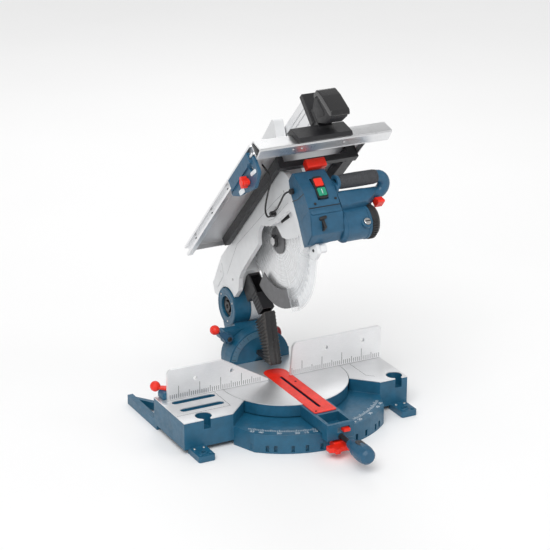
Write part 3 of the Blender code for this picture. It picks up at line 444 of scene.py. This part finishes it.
class Shape:
    """A mesh being put together in millimetres, as the saw rests or as the head would lie when lowered."""

    def __init__(self):
        self.mesh = bmesh.new()

    def point(self, axis, u, v, along):
        place = [0.0, 0.0, 0.0]
        for index, value in zip(PLANES[axis], (u, v, along)):
            place[index] = value
        return self.mesh.verts.new(Vector(place) * MM)

    def loft(self, rings, closed=True):
        """Joins rings of points, each a list of mesh points of one length, and caps both ends."""
        count = len(rings[0])
        for lower, upper in zip(rings, rings[1:]):
            for i in range(count):
                j = (i + 1) % count
                self.mesh.faces.new((lower[i], lower[j], upper[j], upper[i]))
        if closed:
            self.mesh.faces.new(list(reversed(rings[0])))
            self.mesh.faces.new(rings[-1])
        return self

    def prism(self, outline, axis, low, high):
        return self.loft([[self.point(axis, u, v, along) for u, v in outline] for along in (low, high)])

    def block(self, x0, x1, y0, y1, z0, z1):
        return self.prism([(x0, y0), (x1, y0), (x1, y1), (x0, y1)], "Z", z0, z1)

    def turned(self, profile, axis, centre, steps=28, ring=False):
        """Turns (radius, height) pairs about an axis through centre; a ring is joined to itself, not capped."""
        rings = []
        for radius, along in profile:
            circle = []
            for i in range(steps):
                a = math.tau * i / steps
                u, v = centre[0] + max(radius, 0.01) * math.cos(a), centre[1] + max(radius, 0.01) * math.sin(a)
                circle.append(self.point(axis, u, v, along))
            rings.append(circle)
        return self.loft(rings + rings[:1], closed=False) if ring else self.loft(rings)

    def tube(self, path, radii, steps=12):
        """A round tube that follows a path of points, with one radius for each point, in metres."""
        rings, side = [], None
        for i, place in enumerate(path):
            ahead = (path[min(i + 1, len(path) - 1)] - path[max(i - 1, 0)]).normalized()
            side = (ahead.orthogonal() if side is None else side - ahead * side.dot(ahead)).normalized()
            up = ahead.cross(side)
            ring = []
            for k in range(steps):
                a = math.tau * k / steps
                ring.append(self.mesh.verts.new(place + (side * math.cos(a) + up * math.sin(a)) * radii[i]))
            rings.append(ring)
        return self.loft(rings)

    def screw(self, axis, centre, face, side, radius=3.2):
        """A pan-head screw with a socket, standing on a face; side is the way it looks along the axis."""
        r, h = radius, radius * 0.55 * side
        profile = [(r, 0.0), (r, 0.5), (r * 0.8, 1.0), (r * 0.46, 1.0), (r * 0.4, 0.2)]
        profile = [(reach, face + h * share) for reach, share in profile]
        return self.turned(profile, axis, centre, 20)

    def piece(self, name, body, material, at=REST, edge=0.35, segments=2, slot=None, angle=34.0, stands_for=()):
        """Rounds the sharp edges, makes the object and lets it ride on a body."""
        mesh = self.mesh
        bmesh.ops.recalc_face_normals(mesh, faces=mesh.faces)
        if edge:
            sharp = [e for e in mesh.edges if len(e.link_faces) == 2 and e.calc_face_angle() > math.radians(angle)]
            bmesh.ops.bevel(
                mesh, geom=sharp, offset=edge * MM, segments=segments, profile=0.6, affect="EDGES",
                clamp_overlap=True,
            )
        data = bpy.data.meshes.new(name)
        mesh.to_mesh(data)
        mesh.free()
        data.transform(at)
        data.polygons.foreach_set("use_smooth", [True] * len(data.polygons))
        data.set_sharp_from_angle(angle=math.radians(angle))
        data.materials.append(material)
        made = bpy.data.objects.new(name, data)
        bpy.context.scene.collection.objects.link(made)
        if body:
            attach(made, body)
        if stands_for:
            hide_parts(*stands_for)
        return made


def rounded(corners, steps=5):
    """An outline whose corners (u, v, radius) are rounded."""
    points = []
    for i, (u, v, radius) in enumerate(corners):
        here = Vector((u, v))
        if radius <= 0:
            points.append((u, v))
            continue
        before = (Vector(corners[i - 1][:2]) - here).normalized()
        after = (Vector(corners[(i + 1) % len(corners)][:2]) - here).normalized()
        half = before.angle(after) / 2
        reach = min(radius / math.tan(half), 0.49 * (Vector(corners[i - 1][:2]) - here).length,
                    0.49 * (Vector(corners[(i + 1) % len(corners)][:2]) - here).length)
        size = reach * math.tan(half)
        centre = here + (before + after).normalized() * (size / math.sin(half))
        start, end = here + before * reach - centre, here + after * reach - centre
        turn = start.angle_signed(end)
        for k in range(steps + 1):
            spun = Matrix.Rotation(-turn * k / steps, 2) @ start
            points.append(tuple(centre + spun))
    return points


def line_strip(start, end, width):
    """The outline of a straight line of a width."""
    a, b = Vector(start), Vector(end)
    side = (b - a).normalized().orthogonal() * width / 2
    return [tuple(p) for p in (a - side, b - side, b + side, a + side)]


def smooth_path(points, share=6):
    """A smooth curve of points, in metres, through points in millimetres."""
    made = []
    for i in range(len(points) - 1):
        a, b = Vector(points[max(i - 1, 0)]), Vector(points[i])
        c, d = Vector(points[i + 1]), Vector(points[min(i + 2, len(points) - 1)])
        for k in range(share):
            t = k / share
            made.append(0.5 * (2 * b + (c - a) * t + (2 * a - 5 * b + 4 * c - d) * t * t
                               + (3 * b - a - 3 * c + d) * t ** 3))
    return [p * MM for p in made + [Vector(points[-1])]]


# ---------------------------------------------------------------- stage


LENS, SENSOR = 130.9, 36.0
CAMERA_AT = (-2.0958, -3.9854, 2.0354)
FLOOR_REACH = 30.0
LAMPS = (
    # name, place, aim, size, power
    ("key", (-1.9, -2.2, 2.9), (0, 0, 0.35), 1.6, 26.0),
    ("fill", (2.4, -2.0, 1.7), (0, 0, 0.4), 1.2, 8.0),
    ("back", (1.0, 2.6, 2.6), (0, 0.1, 0.5), 1.4, 16.0),
)
SUN_POWER, SUN_SOFTNESS = 1.35, 50
SKY_POWER = 0.5


class SAW_OT_stage(bpy.types.Operator):
    """Floor, soft lights and camera"""

    bl_idname = "saw.stage"
    bl_label = "Stage"

    def execute(self, context):
        camera = bpy.data.objects.new("camera", bpy.data.cameras.new("camera"))
        camera.data.lens, camera.data.sensor_width = LENS, SENSOR
        camera.data.clip_end = 60.0
        right, up, back = (0.8872, -0.4614, 0), (0.1616, 0.3107, 0.9367), (-0.4322, -0.8310, 0.3502)
        turn = Matrix((right, up, back)).transposed().to_4x4()
        camera.matrix_world = Matrix.Translation(CAMERA_AT) @ turn
        context.scene.collection.objects.link(camera)
        context.scene.camera = camera

        floor = bpy.data.meshes.new("floor")
        reach = FLOOR_REACH
        corners = [(-reach, -reach, 0), (reach, -reach, 0), (reach, reach, 0), (-reach, reach, 0)]
        floor.from_pydata(corners, [], [(0, 1, 2, 3)])
        plane = bpy.data.objects.new("floor", floor)
        plane.location.z = CAD_LOW.z - 0.0002
        f = Finish("studio_floor", Roughness=0.7)
        pale = tuple(context.scene.saw_colours.floor)
        floor.materials.append(f.use(Base_Color=f.ramp(f.noise(1.2, 2.0), shade(pale, 0.985), pale, 0.3, 0.7)))
        context.scene.collection.objects.link(plane)

        for name, place, aim, size, power in LAMPS:
            lamp = bpy.data.objects.new(name, bpy.data.lights.new(name, "AREA"))
            lamp.data.shape, lamp.data.size, lamp.data.energy = "SQUARE", size, power
            lamp.location = place
            lamp.rotation_mode = "QUATERNION"
            lamp.rotation_quaternion = (Vector(place) - Vector(aim)).to_track_quat("Z", "Y")
            context.scene.collection.objects.link(lamp)

        sun = bpy.data.objects.new("sun", bpy.data.lights.new("sun", "SUN"))
        sun.data.energy, sun.data.angle = SUN_POWER, math.radians(SUN_SOFTNESS)
        sun.rotation_euler = (math.radians(28), math.radians(-22), 0)
        context.scene.collection.objects.link(sun)

        world = bpy.data.worlds.new("studio")
        context.scene.world = world
        world.use_nodes = True
        sky = world.node_tree.nodes["Background"]
        sky.inputs["Color"].default_value = (1, 1, 1, 1)
        sky.inputs["Strength"].default_value = SKY_POWER
        context.scene.view_settings.view_transform = "Standard"
        return {"FINISHED"}


class SAW_OT_finishes(bpy.types.Operator):
    """Finishes and rounded edges on every CAD node"""

    bl_idname = "saw.finishes"
    bl_label = "Finishes"

    def execute(self, context):
        sizes = context.scene.saw_sizes
        slots = {node: slot for slot, nodes in SLOT_OF.items() for node in nodes.split()}
        for node in sorted(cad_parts):
            dress(node, slots[node], sizes.fine_edge if node in FINE else sizes.edge)
        return {"FINISHED"}


# ---------------------------------------------------------------- pieces


# The control cable: out of the box, along the arm, round the clip and up into the rip table, head lowered.
CABLE_ROUTE = (
    (-53.6, -312, 236), (-58, -311, 236), (-61, -304, 236), (-60, -290, 237), (-54, -250, 238), (-47.3, -215, 242),
    (-47.3, -194, 245), (-47.3, -174, 245), (-48, -160, 252), (-50, -164, 265), (-54, -190, 275), (-60, -226, 281),
    (-66, -262, 286), (-72, -286, 297), (-80, -294, 311), (-84, -294, 323.6),
)


class SAW_OT_cable(bpy.types.Operator):
    """The control cable between the head box and the rip table"""

    bl_idname = "saw.cable"
    bl_label = "Control cable"

    def execute(self, context):
        path = [HEAD_LIFT @ p for p in smooth_path(CABLE_ROUTE)]
        size = context.scene.saw_sizes.cable
        shape = Shape().tube(path, [size / 2] * len(path))
        cable = shape.piece("control_lead", None, finish("rubber"), edge=0, slot="rubber", angle=60,
                            stands_for=["control_cable"])
        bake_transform(cable)
        return {"FINISHED"}


class SAW_OT_bellows(bpy.types.Operator):
    """The ribbed dust bellows behind the blade"""

    bl_idname = "saw.bellows"
    bl_label = "Dust bellows"

    def execute(self, context):
        shape = Shape()
        front_low, front_high = Vector((38.5, 103.2)), Vector((73.5, 233))
        rear_low, rear_high = Vector((66, 103.2)), Vector((119, 192))
        folds, flat = 15, 13.5
        rings = []
        for k in range(2 * folds + 1):
            s = k / (2 * folds)
            out = k % 2
            front, rear = front_low.lerp(front_high, s), rear_low.lerp(rear_high, s)
            rear = rear - (rear - front).normalized() * (0.5 if out else 5.0)
            half = 19.6 if out else 15.0
            side = [(flat, front), (half, front.lerp(rear, 0.12)), (half, rear.lerp(front, 0.06)), (half - 3, rear)]
            corners = [(-flat, front), *side, *((-x, p) for x, p in reversed(side[1:]))]
            rings.append([shape.mesh.verts.new(Vector((x, *p)) * MM) for x, p in corners])
        shape.loft(rings)
        shape.piece("bellows_folds", "tilt", finish("bellows"), edge=0.25, slot="black_plastic",
                    angle=25, stands_for=["dust_bellows"])
        spine = Shape()
        for x0, x1, depth in ((-14, -1.4, 1.6), (1.4, 14, 1.6), (-1.4, 1.4, 0.5)):
            rings = []
            for s in (0.015, 0.985):
                p = front_low.lerp(front_high, s)
                outline = [(x0, p.y, 0.4), (x1, p.y, 0.4), (x1, p.y, -depth), (x0, p.y, -depth)]
                rings.append([spine.mesh.verts.new(Vector((x, p.x + d, z)) * MM) for x, z, d in outline])
            spine.loft(rings)
        spine.piece("bellows_front", "tilt", finish("gloss_black"), edge=0.4, slot="gloss_black")
        foot = Shape().prism([(66, 103.2), (124, 103.2), (122, 114), (78, 114)], "X", -12, 12)
        foot.piece("bellows_foot", "tilt", finish("black_plastic"), edge=1.2, slot="black_plastic")
        for name in ("bellows_folds", "bellows_front"):
            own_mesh(bpy.data.objects[name])
        return {"FINISHED"}


class SAW_OT_fence_scales(bpy.types.Operator):
    """The ruler lines along the foot of both fence plates"""

    bl_idname = "saw.fence_scales"
    bl_label = "Fence scales"

    def execute(self, context):
        half = context.scene.saw_sizes.tick / MM / 2
        step, foot = 5.6, 84.5
        tenth, fifth, plain = 116, 101, 95.5
        slope_x, slope_z, slope = -162, 160, 74 / 124
        for name, body, first, last, longest in (
            ("fence_ruler_left", "left_fence", -302.0, -56, -282.0),
            ("fence_ruler_right", "base", 27.0, 276, 55.0),
        ):
            shape = Shape()
            x = first
            while x <= last:
                place = round((x - longest) / step)
                high = tenth if place % 10 == 0 else fifth if place % 5 == 0 else plain
                if slope_x < x < 0:
                    high = min(high, slope_z - (x - slope_x) * slope - 3)
                shape.block(x - half, x + half, 5.9, 6.02, foot, high)
                x += step
            shape.piece(name, body, finish("ink"), edge=0, slot="black_steel")
        return {"FINISHED"}


class SAW_OT_mitre_scale(bpy.types.Operator):
    """The white degree lines and numbers round the base ring, and the bevel scale's lines"""

    bl_idname = "saw.mitre_scale"
    bl_label = "Mitre and bevel scales"

    def number(self, context, degree):
        """The raised digits of a degree, turned to face outwards round the ring."""
        text = bpy.data.curves.new("digits", "FONT")
        text.body, text.size, text.extrude = str(abs(degree)), 0.0125, 0.00005
        text.align_x, text.align_y = "CENTER", "CENTER"
        made = bpy.data.objects.new("digits", text)
        context.scene.collection.objects.link(made)
        context.view_layer.update()
        mesh = bpy.data.meshes.new_from_object(made.evaluated_get(context.evaluated_depsgraph_get()))
        bpy.data.objects.remove(made)
        turn = Matrix.Rotation(math.radians(degree), 4, "Z")
        mesh.transform(turn @ Matrix.Translation((0, -0.2466, 0.04802)))
        mesh.materials.clear()
        mesh.materials.append(finish("scale_white"))
        side = "left" if degree < 0 else "right"
        digits = bpy.data.objects.new(f"mitre_number_{side}_{abs(degree)}", mesh)
        context.scene.collection.objects.link(digits)
        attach(digits, "base")

    def execute(self, context):
        lines = Shape()
        long_inner, inner, outer = 227, 231.5, 238.5
        for degree in range(-48, 49):
            a = math.radians(degree)
            along = Vector((math.sin(a), -math.cos(a)))
            start = along * (long_inner if degree % 5 == 0 else inner)
            lines.prism(line_strip(start, along * outer, 1.1), "Z", 47.95, 48.07)
        lines.piece("mitre_degree_lines", "base", finish("scale_white"), edge=0, slot="machined_alloy")
        for number in (-45, -40, -30, -20, -15, -10, 10, 15, 20, 30, 40, 45):
            self.number(context, number)
        bevel = Shape()
        long_inner, inner, outer, spread = 68, 73, 79, 1.7
        for degree in range(0, 46, 5):
            a = math.radians(92 + degree * spread)
            along = Vector((math.cos(a), math.sin(a)))
            start = along * (long_inner if degree % 15 == 0 else inner)
            outline = [(x, z + TILT_HEIGHT) for x, z in line_strip(start, along * outer, 0.8)]
            bevel.prism(outline, "Y", 126.1, 126.3)
        bevel.piece("bevel_degree_lines", "turntable", finish("ink"), edge=0, slot="black_steel")
        return {"FINISHED"}


class SAW_OT_table_lines(bpy.types.Operator):
    """The engraved outlines on the side tables"""

    bl_idname = "saw.table_lines"
    bl_label = "Table lines"

    def execute(self, context):
        shape = Shape()
        for start, end in (((-186, 3), (-186, -84)), ((-186, -84), (-326, -84)), ((189, 3), (189, -76)),
                           ((189, -76), (206, -92))):
            shape.prism(line_strip(start, end, 0.9), "Z", 81.25, 81.36)
        shape.piece("table_outlines", "base", finish("ink"), edge=0, slot="black_steel")
        return {"FINISHED"}


class SAW_OT_screws(bpy.types.Operator):
    """The small screws, bolts and bosses that show"""

    bl_idname = "saw.screws"
    bl_label = "Screws"

    def execute(self, context):
        groups = {
            "rail_screws": ("rip_table", "steel", HEAD_LIFT, [
                ("Z", (x, -419), 288.4, -1, 2.9) for x in (-63, -41, 68)]),
            "side_rail_screws": ("rip_table", "black_steel", HEAD_LIFT, [
                ("X", (y, 314), -146.2, -1, 3.6) for y in (-330, -210, -90, 40)]),
            "arm_screws": ("head", "steel", HEAD_LIFT, [
                ("X", (-198, 253), -38, -1, 3.0), ("X", (150, 236), -38, -1, 3.2), ("X", (196, 282), -38, -1, 3.2),
                ("X", (-262, 262), -38, -1, 2.6)]),
            "box_screws": ("head", "black_steel", HEAD_LIFT, [
                ("Y", (-22, 178), -350.6, -1, 3.2), ("Y", (33, 184), -351, -1, 3.0)]),
            "insert_screws": ("turntable", "black_steel", REST, [
                ("Z", (-22, -208), 81.2, 1, 2.6), ("Z", (18, -30), 81.2, 1, 2.6)]),
            "foot_bolts": ("base", "steel", REST, [("Z", (x, -138), 15, 1, 3.6) for x in (-307, -283, 240, 264)]),
            "fence_bolts": ("base", "black_steel", REST, [
                ("Z", (x, 28), 100, 1, 4.6) for x in (-236, -196, 190, 250)]),
        }
        for name, (body, slot, at, rows) in groups.items():
            shape = Shape()
            for row in rows:
                shape.screw(*row)
            shape.piece(name, body, finish(slot), at, edge=0.25, slot=slot)
        bosses = Shape()
        for x in (-295, 252):
            bosses.turned([(9.6, 14.6), (9.0, 17.0), (5.2, 17.0), (5.0, 14.6)], "Z", (x, -162), 28, ring=True)
            for dx in (-13, 13):
                bosses.turned([(4.6, 14.6), (4.2, 17.6), (2.2, 18.2)], "Z", (x + dx, -174), 20)
        bosses.piece("foot_bosses", "base", finish("blue_casting"), edge=0.4, slot="blue_casting")
        return {"FINISHED"}


class SAW_OT_head_details(bpy.types.Operator):
    """Box panels and seams, guard bracket, flange hub, motor ribs and the blue ring round the silver brush cap"""

    bl_idname = "saw.head_details"
    bl_label = "Head details"

    def execute(self, context):
        seam = Shape()
        seam.prism([(-290, 219.5), (-318, 209.5), (-353.2, 205.4), (-353.3, 207.2), (-317, 211.6), (-290, 221.6)],
                   "X", BOX_SIDE - 0.25, BOX_SIDE + 0.2)
        left, right = BOX_SIDE + 0.2, 39.8
        seam.prism([(left, 168), (right, 168), (right, 169.8), (left, 169.8)], "Y", -350.2, -349.2)
        seam.piece("box_seams", "head", finish("black_plastic"), HEAD_LIFT, edge=0, slot="black_plastic")

        lower = Shape()
        lower.prism(rounded([(-268, 116, 2), (-286, 108.5, 3), (-322, 115, 4), (-345.5, 149, 4), (-350.6, 166, 2),
                             (-283, 166, 2)]), "X", BOX_SIDE - 1.6, BOX_SIDE + 0.1)
        lower.prism(rounded([(-40, 152, 5), (38, 152, 5), (38, 163, 4), (-40, 163, 4)]), "Y", -350.6, -346)
        lower.piece("box_lower_flange", "head", finish("blue_plastic"), HEAD_LIFT, edge=0.7, slot="blue_plastic")

        # Black blocks inside the box's key recess, painted as the shade in the recess.
        key = Shape()
        key.prism(rounded([(-22, 138, 3), (-3, 141, 3), (-3, 148, 3), (-22, 145, 3)]), "Y", -347.2, -340)
        key.prism(rounded([(-16, 118, 2), (-10, 118, 2), (-10, 140, 2), (-16, 140, 2)]), "Y", -343.2, -326)
        key.piece("box_key_recess", "head", finish("black_plastic"), HEAD_LIFT, edge=0.3, slot="black_plastic")

        tab = Shape()
        tab.prism(rounded([(-262, 112, 3), (-292, 104, 4), (-288, 82, 6), (-262, 78, 6), (-244, 92, 4)]),
                  "X", -25.8, -17)
        tab.prism(rounded([(-284, 104, 3), (-296, 98, 3), (-290, 84, 3), (-278, 84, 3)]), "X", -17.4, -2)
        tab.piece("guard_bracket", "head", finish("arm_alloy"), HEAD_LIFT, edge=0.9, slot="arm_alloy")
        hole = Shape().screw("X", (-272, 98), -25.8, -1, 3.6)
        hole.piece("guard_bracket_screw", "head", finish("black_steel"), HEAD_LIFT, edge=0.2, slot="black_steel")

        hub = Shape()
        hub.turned([(15.6, -11.8), (15.6, -14.6), (14, -15.6), (11.6, -15.6), (11.6, -11.8)], "X", BLADE_AT, 36,
                   ring=True)
        hub.piece("flange_hub", "blade", finish("black_steel"), HEAD_LIFT, edge=0.4, slot="black_steel")

        ribs = Shape()
        for k in range(40):
            a = math.tau * k / 40
            along, side = Vector((math.cos(a), math.sin(a))), Vector((-math.sin(a), math.cos(a)))
            if along.x < -0.93:
                continue
            section = ((40.4, -1.7), (42.6, -1.2), (42.6, 1.2), (40.4, 1.7))
            outline = [tuple(Vector(MOTOR_AT) + along * r + side * s) for r, s in section]
            ribs.prism(outline, "X", 114, 126)
        ribs.piece("cap_ribs", "head", finish("black_plastic"), HEAD_LIFT, edge=0.4, slot="black_plastic")
        ring = Shape()
        ring.turned([(14.2, -328), (14.2, -337.6), (13.2, -338.8), (9.6, -338.8), (9.4, -328)], "Y", BRUSH_AT, 36,
                    ring=True)
        ring.piece("brush_cap_ring", "head", finish("blue_plastic"), HEAD_LIFT, edge=0.4, slot="blue_plastic")
        # A thin black strip painted as the shade in the brush cap's slot.
        slot = Shape().block(89.5, 104.5, -341.3, -340.6, 118, 120.4)
        slot.piece("brush_cap_slot", "head", finish("black_steel"), HEAD_LIFT, edge=0, slot="black_steel")
        collar = Shape()
        for x in (47.5, 104):
            band = [(39.5, x), (41.2, x + 0.8), (41.2, x + 5.2), (39.5, x + 6)]
            collar.turned(band, "X", MOTOR_AT, 48, ring=True)
        collar.piece("motor_bands", "head", finish("blue_plastic"), HEAD_LIFT, edge=0, slot="blue_plastic",
                     angle=25)
        marks = Shape()
        marks.prism([(1.8, 209), (3.2, 209), (3.2, 197), (1.8, 197)], "Y", -359.3, -358.9)
        marks.piece("button_mark", "on_button", finish("scale_white"), HEAD_LIFT, edge=0, slot="green_button")
        return {"FINISHED"}


class SAW_OT_handle(bpy.types.Operator):
    """The loop of the handle, with its thick lower arm"""

    bl_idname = "saw.handle"
    bl_label = "Handle"

    def execute(self, context):
        low, high = Vector((0, -322, 194)), Vector((0, -352, 222))
        middle, rise = (low + high) / 2, (high - low) / 2
        path = [low + Vector((x, 0, dz)) for x, dz in ((42, -3), (70, -2.5), (100, -1.5), (126, -0.5))]
        radii = [20, 19.5, 18, 16]
        for k in range(13):
            a = math.radians(-90 + 15 * k)
            path.append(middle + Vector((155 + rise.length * math.cos(a), 0, 0)) + rise * math.sin(a))
            radii.append(15)
        path.append(high + Vector((146, 0, 0)))
        radii.append(14)
        shape = Shape().tube([p * MM for p in path], [r * MM for r in radii], 28)
        rings = []
        for x, (front, back, floor, top) in ((44, (-347, -304, 153, 206)), (112, (-346, -304, 156, 205)),
                                             (132, (-343, -305, 166, 204)), (150, (-338, -307, 181, 207))):
            outline = rounded([(front, floor + 12, 5), (front + 22, floor, 6), (back, floor + 6, 5), (back, top, 6),
                               (front, top - 2, 7)], 4)
            rings.append([shape.point("X", u, v, x) for u, v in outline])
        shape.loft(rings)
        shape.turned([(10, 44), (18, 44), (17.4, 50), (15.8, 53), (10, 53)], "X", (-352, 222), 28, ring=True)
        shape.prism(rounded([(-366, 206, 8), (-306, 176, 6), (-292, 196, 6), (-340, 240, 8)]), "X", 40.4, 47)
        shape.prism(rounded([(44, 184, 1), (140, 184, 8), (174, 196, 8), (174, 212, 8), (44, 212, 1)]),
                    "Y", -315, -301)
        shape.piece("handle_loop", "head", finish("blue_plastic"), HEAD_LIFT, edge=0.9, slot="blue_plastic",
                    stands_for=["handle_frame"])
        return {"FINISHED"}


class SAW_OT_release_bar(bpy.types.Operator):
    """The wide red bar that unlocks the head"""

    bl_idname = "saw.release_bar"
    bl_label = "Release bar"

    def execute(self, context):
        outline = [(-346, 273, 3), (-327, 271.5, 3), (-327, 293, 4), (-346, 298, 5)]
        bar = Shape().prism(rounded(outline, 4), "X", -2, 48)
        bar.prism([(-344.5, 275), (-346.6, 275), (-346.6, 279), (-344.5, 279)], "X", 2, 44)
        bar.piece("release_bar_cap", "release_bar", finish("red_plastic"), HEAD_LIFT, edge=1.6, segments=3,
                  slot="red_plastic", stands_for=["release_bar"])
        return {"FINISHED"}


class SAW_OT_clamp_lever(bpy.types.Operator):
    """The rounded clamp lever at the front of the rip fence"""

    bl_idname = "saw.clamp_lever"
    bl_label = "Rip fence lever"

    def execute(self, context):
        outline = [(-485, 398, 10), (-464, 397, 7), (-457, 389, 3), (-477, 385, 6), (-489, 342, 14), (-494, 322, 4),
                   (-503, 313, 3), (-510, 324, 5), (-497, 372, 24)]
        shell = Shape().prism(rounded(outline, 6), "X", 12, 60)
        shell.piece("lever_shell", "rip_clamp", finish("gloss_black"), HEAD_LIFT, edge=2.6, segments=4,
                    slot="gloss_black", stands_for=["rip_fence_lever"])
        outline = [(-480, 390, 8), (-462, 393, 6), (-431, 376, 4), (-432, 340, 4), (-462, 320, 5), (-498, 315, 4)]
        core = Shape().prism(rounded(outline, 4), "X", 14.5, 57.5)
        core.prism(rounded([(-470, 384, 6), (-438, 370, 5), (-439, 348, 5), (-476, 334, 6)], 4), "X", 13.4, 14.6)
        core.piece("lever_core", "rip_clamp", finish("black_plastic"), HEAD_LIFT, edge=0.8, slot="black_plastic")
        return {"FINISHED"}


class SAW_OT_arm_details(bpy.types.Operator):
    """The arm's raised border, its lengthwise panel lines as strips of painted groove shadow, and a black plate
    painted as the shade in its slot
    """

    bl_idname = "saw.arm_details"
    bl_label = "Arm details"

    def execute(self, context):
        # Thin grey strips of painted shadow stand for the shade in the arm's panel grooves.
        line = Shape()
        for start, end in (((-248, 262), (-205, 268)), ((-205, 268), (60, 290)), ((60, 290), (168, 262))):
            line.prism(line_strip(start, end, 0.8), "X", ARM_SIDE - 0.12, ARM_SIDE + 0.1)
        for start, end in (((-262, 232), (-166, 240)), ((-166, 240), (-140, 250))):
            line.prism(line_strip(start, end, 0.7), "X", ARM_SIDE - 0.12, ARM_SIDE + 0.1)
        line.piece("arm_panel_lines", "head", finish("shadow_line"), HEAD_LIFT, edge=0, slot="arm_alloy")
        # A black plate inside the arm, painted as the shade seen through the arm's slot.
        slot = Shape().prism([(-204, 229), (-158, 238), (-158, 229), (-206, 219)], "X", -17.6, -16.9)
        slot.piece("arm_slot", "head", finish("black_plastic"), HEAD_LIFT, edge=0.2, slot="black_plastic")
        lobe = Shape()
        lobe.prism(rounded([(176, 300, 4), (226, 292, 14), (256, 280, 14), (250, 262, 8), (190, 268, 8)]),
                   "X", ARM_SIDE - 1.4, ARM_SIDE + 0.1)
        lobe.piece("arm_rear_lobe", "head", finish("arm_alloy"), HEAD_LIFT, edge=0.8, slot="arm_alloy")
        return {"FINISHED"}


class SAW_OT_gauge_slots(bpy.types.Operator):
    """The pale inlays round the two curved slots of the angle gauge"""

    bl_idname = "saw.gauge_slots"
    bl_label = "Gauge slots"

    def execute(self, context):
        slots = Shape()
        for u0, v0, u1, v1 in ((-388, 262, -356, 277), (-302, 258, -272, 276)):
            outline = [(u0, v0, 4), (u1, v0 + 6, 5), (u1, v1, 4), (u0, v1 - 5, 5)]
            slots.prism(rounded(outline, 4), "X", GAUGE_SIDE - 0.5, GAUGE_SIDE + 0.2)
        slots.piece("gauge_slot_inlays", "gauge", finish("scale_white"), HEAD_LIFT, edge=0.1, slot="extrusion")
        return {"FINISHED"}


class SAW_OT_lock_details(bpy.types.Operator):
    """The knob's thumb recess, the tilt unit's ring and the bolts round it"""

    bl_idname = "saw.lock_details"
    bl_label = "Lock details"

    def execute(self, context):
        ring = Shape()
        ring.turned([(27.0, -41.9), (30.5, -42.6), (32.5, -42.6), (33.5, -41.9)], "X", PIVOT_AT, 48, ring=True)
        ring.turned([(42.5, -41.9), (43.5, -42.7), (45.5, -42.7), (46.5, -41.9)], "X", PIVOT_AT, 48, ring=True)
        ring.piece("tilt_unit_rings", "tilt", finish("blue_casting"), edge=0, slot="blue_casting", angle=25)
        # A black ring lining the pivot's recess, painted as the shade in the recess.
        inner = Shape()
        section = [(26.4, -30.6), (26.4, -35.5), (24.8, -36.6), (16.4, -36.6), (16.4, -30.6)]
        inner.turned(section, "X", PIVOT_AT, 40, ring=True)
        inner.piece("pivot_recess_ring", "tilt", finish("black_plastic"), edge=0.5, slot="black_plastic")
        bolts = Shape()
        for k in range(3):
            a = math.radians(40 + 110 * k)
            bolts.screw("X", (PIVOT_AT[0] + 38 * math.cos(a), PIVOT_AT[1] + 38 * math.sin(a)), -42, -1, 2.8)
        bolts.piece("tilt_unit_screws", "tilt", finish("steel"), edge=0.2, slot="steel")
        cap = Shape().screw("Y", CLAMP_AT, 138, -1, 6.2)
        cap.piece("bevel_clamp_screw", "bevel_clamp", finish("black_steel"), edge=0.4, slot="black_steel")
        thumb = Shape()
        thumb.prism(rounded([(-9, -394, 7), (9, -394, 7), (9, -366, 7), (-9, -366, 7)], 6), "Z", 64.6, 67.4)
        thumb.piece("knob_thumb_pad", "mitre_lock", finish("grip_rubber"), edge=0.8, slot="grip_rubber")
        return {"FINISHED"}


OPERATORS = (
    SAW_OT_stage,
    SAW_OT_cable,
    SAW_OT_finishes,
    SAW_OT_bellows,
    SAW_OT_fence_scales,
    SAW_OT_mitre_scale,
    SAW_OT_table_lines,
    SAW_OT_screws,
    SAW_OT_head_details,
    SAW_OT_handle,
    SAW_OT_release_bar,
    SAW_OT_clamp_lever,
    SAW_OT_arm_details,
    SAW_OT_gauge_slots,
    SAW_OT_lock_details,
)


class SAW_PT_panel(bpy.types.Panel):
    """The steps that dress the saw, in order"""

    bl_idname = "SAW_PT_panel"
    bl_label = "Saw"
    bl_space_type = "VIEW_3D"
    bl_region_type = "UI"
    bl_category = "Saw"

    def draw(self, context):
        for group in (context.scene.saw_colours, context.scene.saw_sizes):
            column = self.layout.column()
            for name in group.__annotations__:
                column.prop(group, name)
        for operator in OPERATORS:
            self.layout.operator(operator.bl_idname)


CLASSES = (SawColours, SawSizes, *OPERATORS, SAW_PT_panel)


def register():
    for cls in CLASSES:
        bpy.utils.register_class(cls)
    bpy.types.Scene.saw_colours = bpy.props.PointerProperty(type=SawColours)
    bpy.types.Scene.saw_sizes = bpy.props.PointerProperty(type=SawSizes)


def unregister():
    del bpy.types.Scene.saw_sizes
    del bpy.types.Scene.saw_colours
    for cls in reversed(CLASSES):
        bpy.utils.unregister_class(cls)


def main():
    register()
    for operator in OPERATORS:
        group, name = operator.bl_idname.split(".")
        getattr(getattr(bpy.ops, group), name)()


if __name__ == "__main__":
    main()
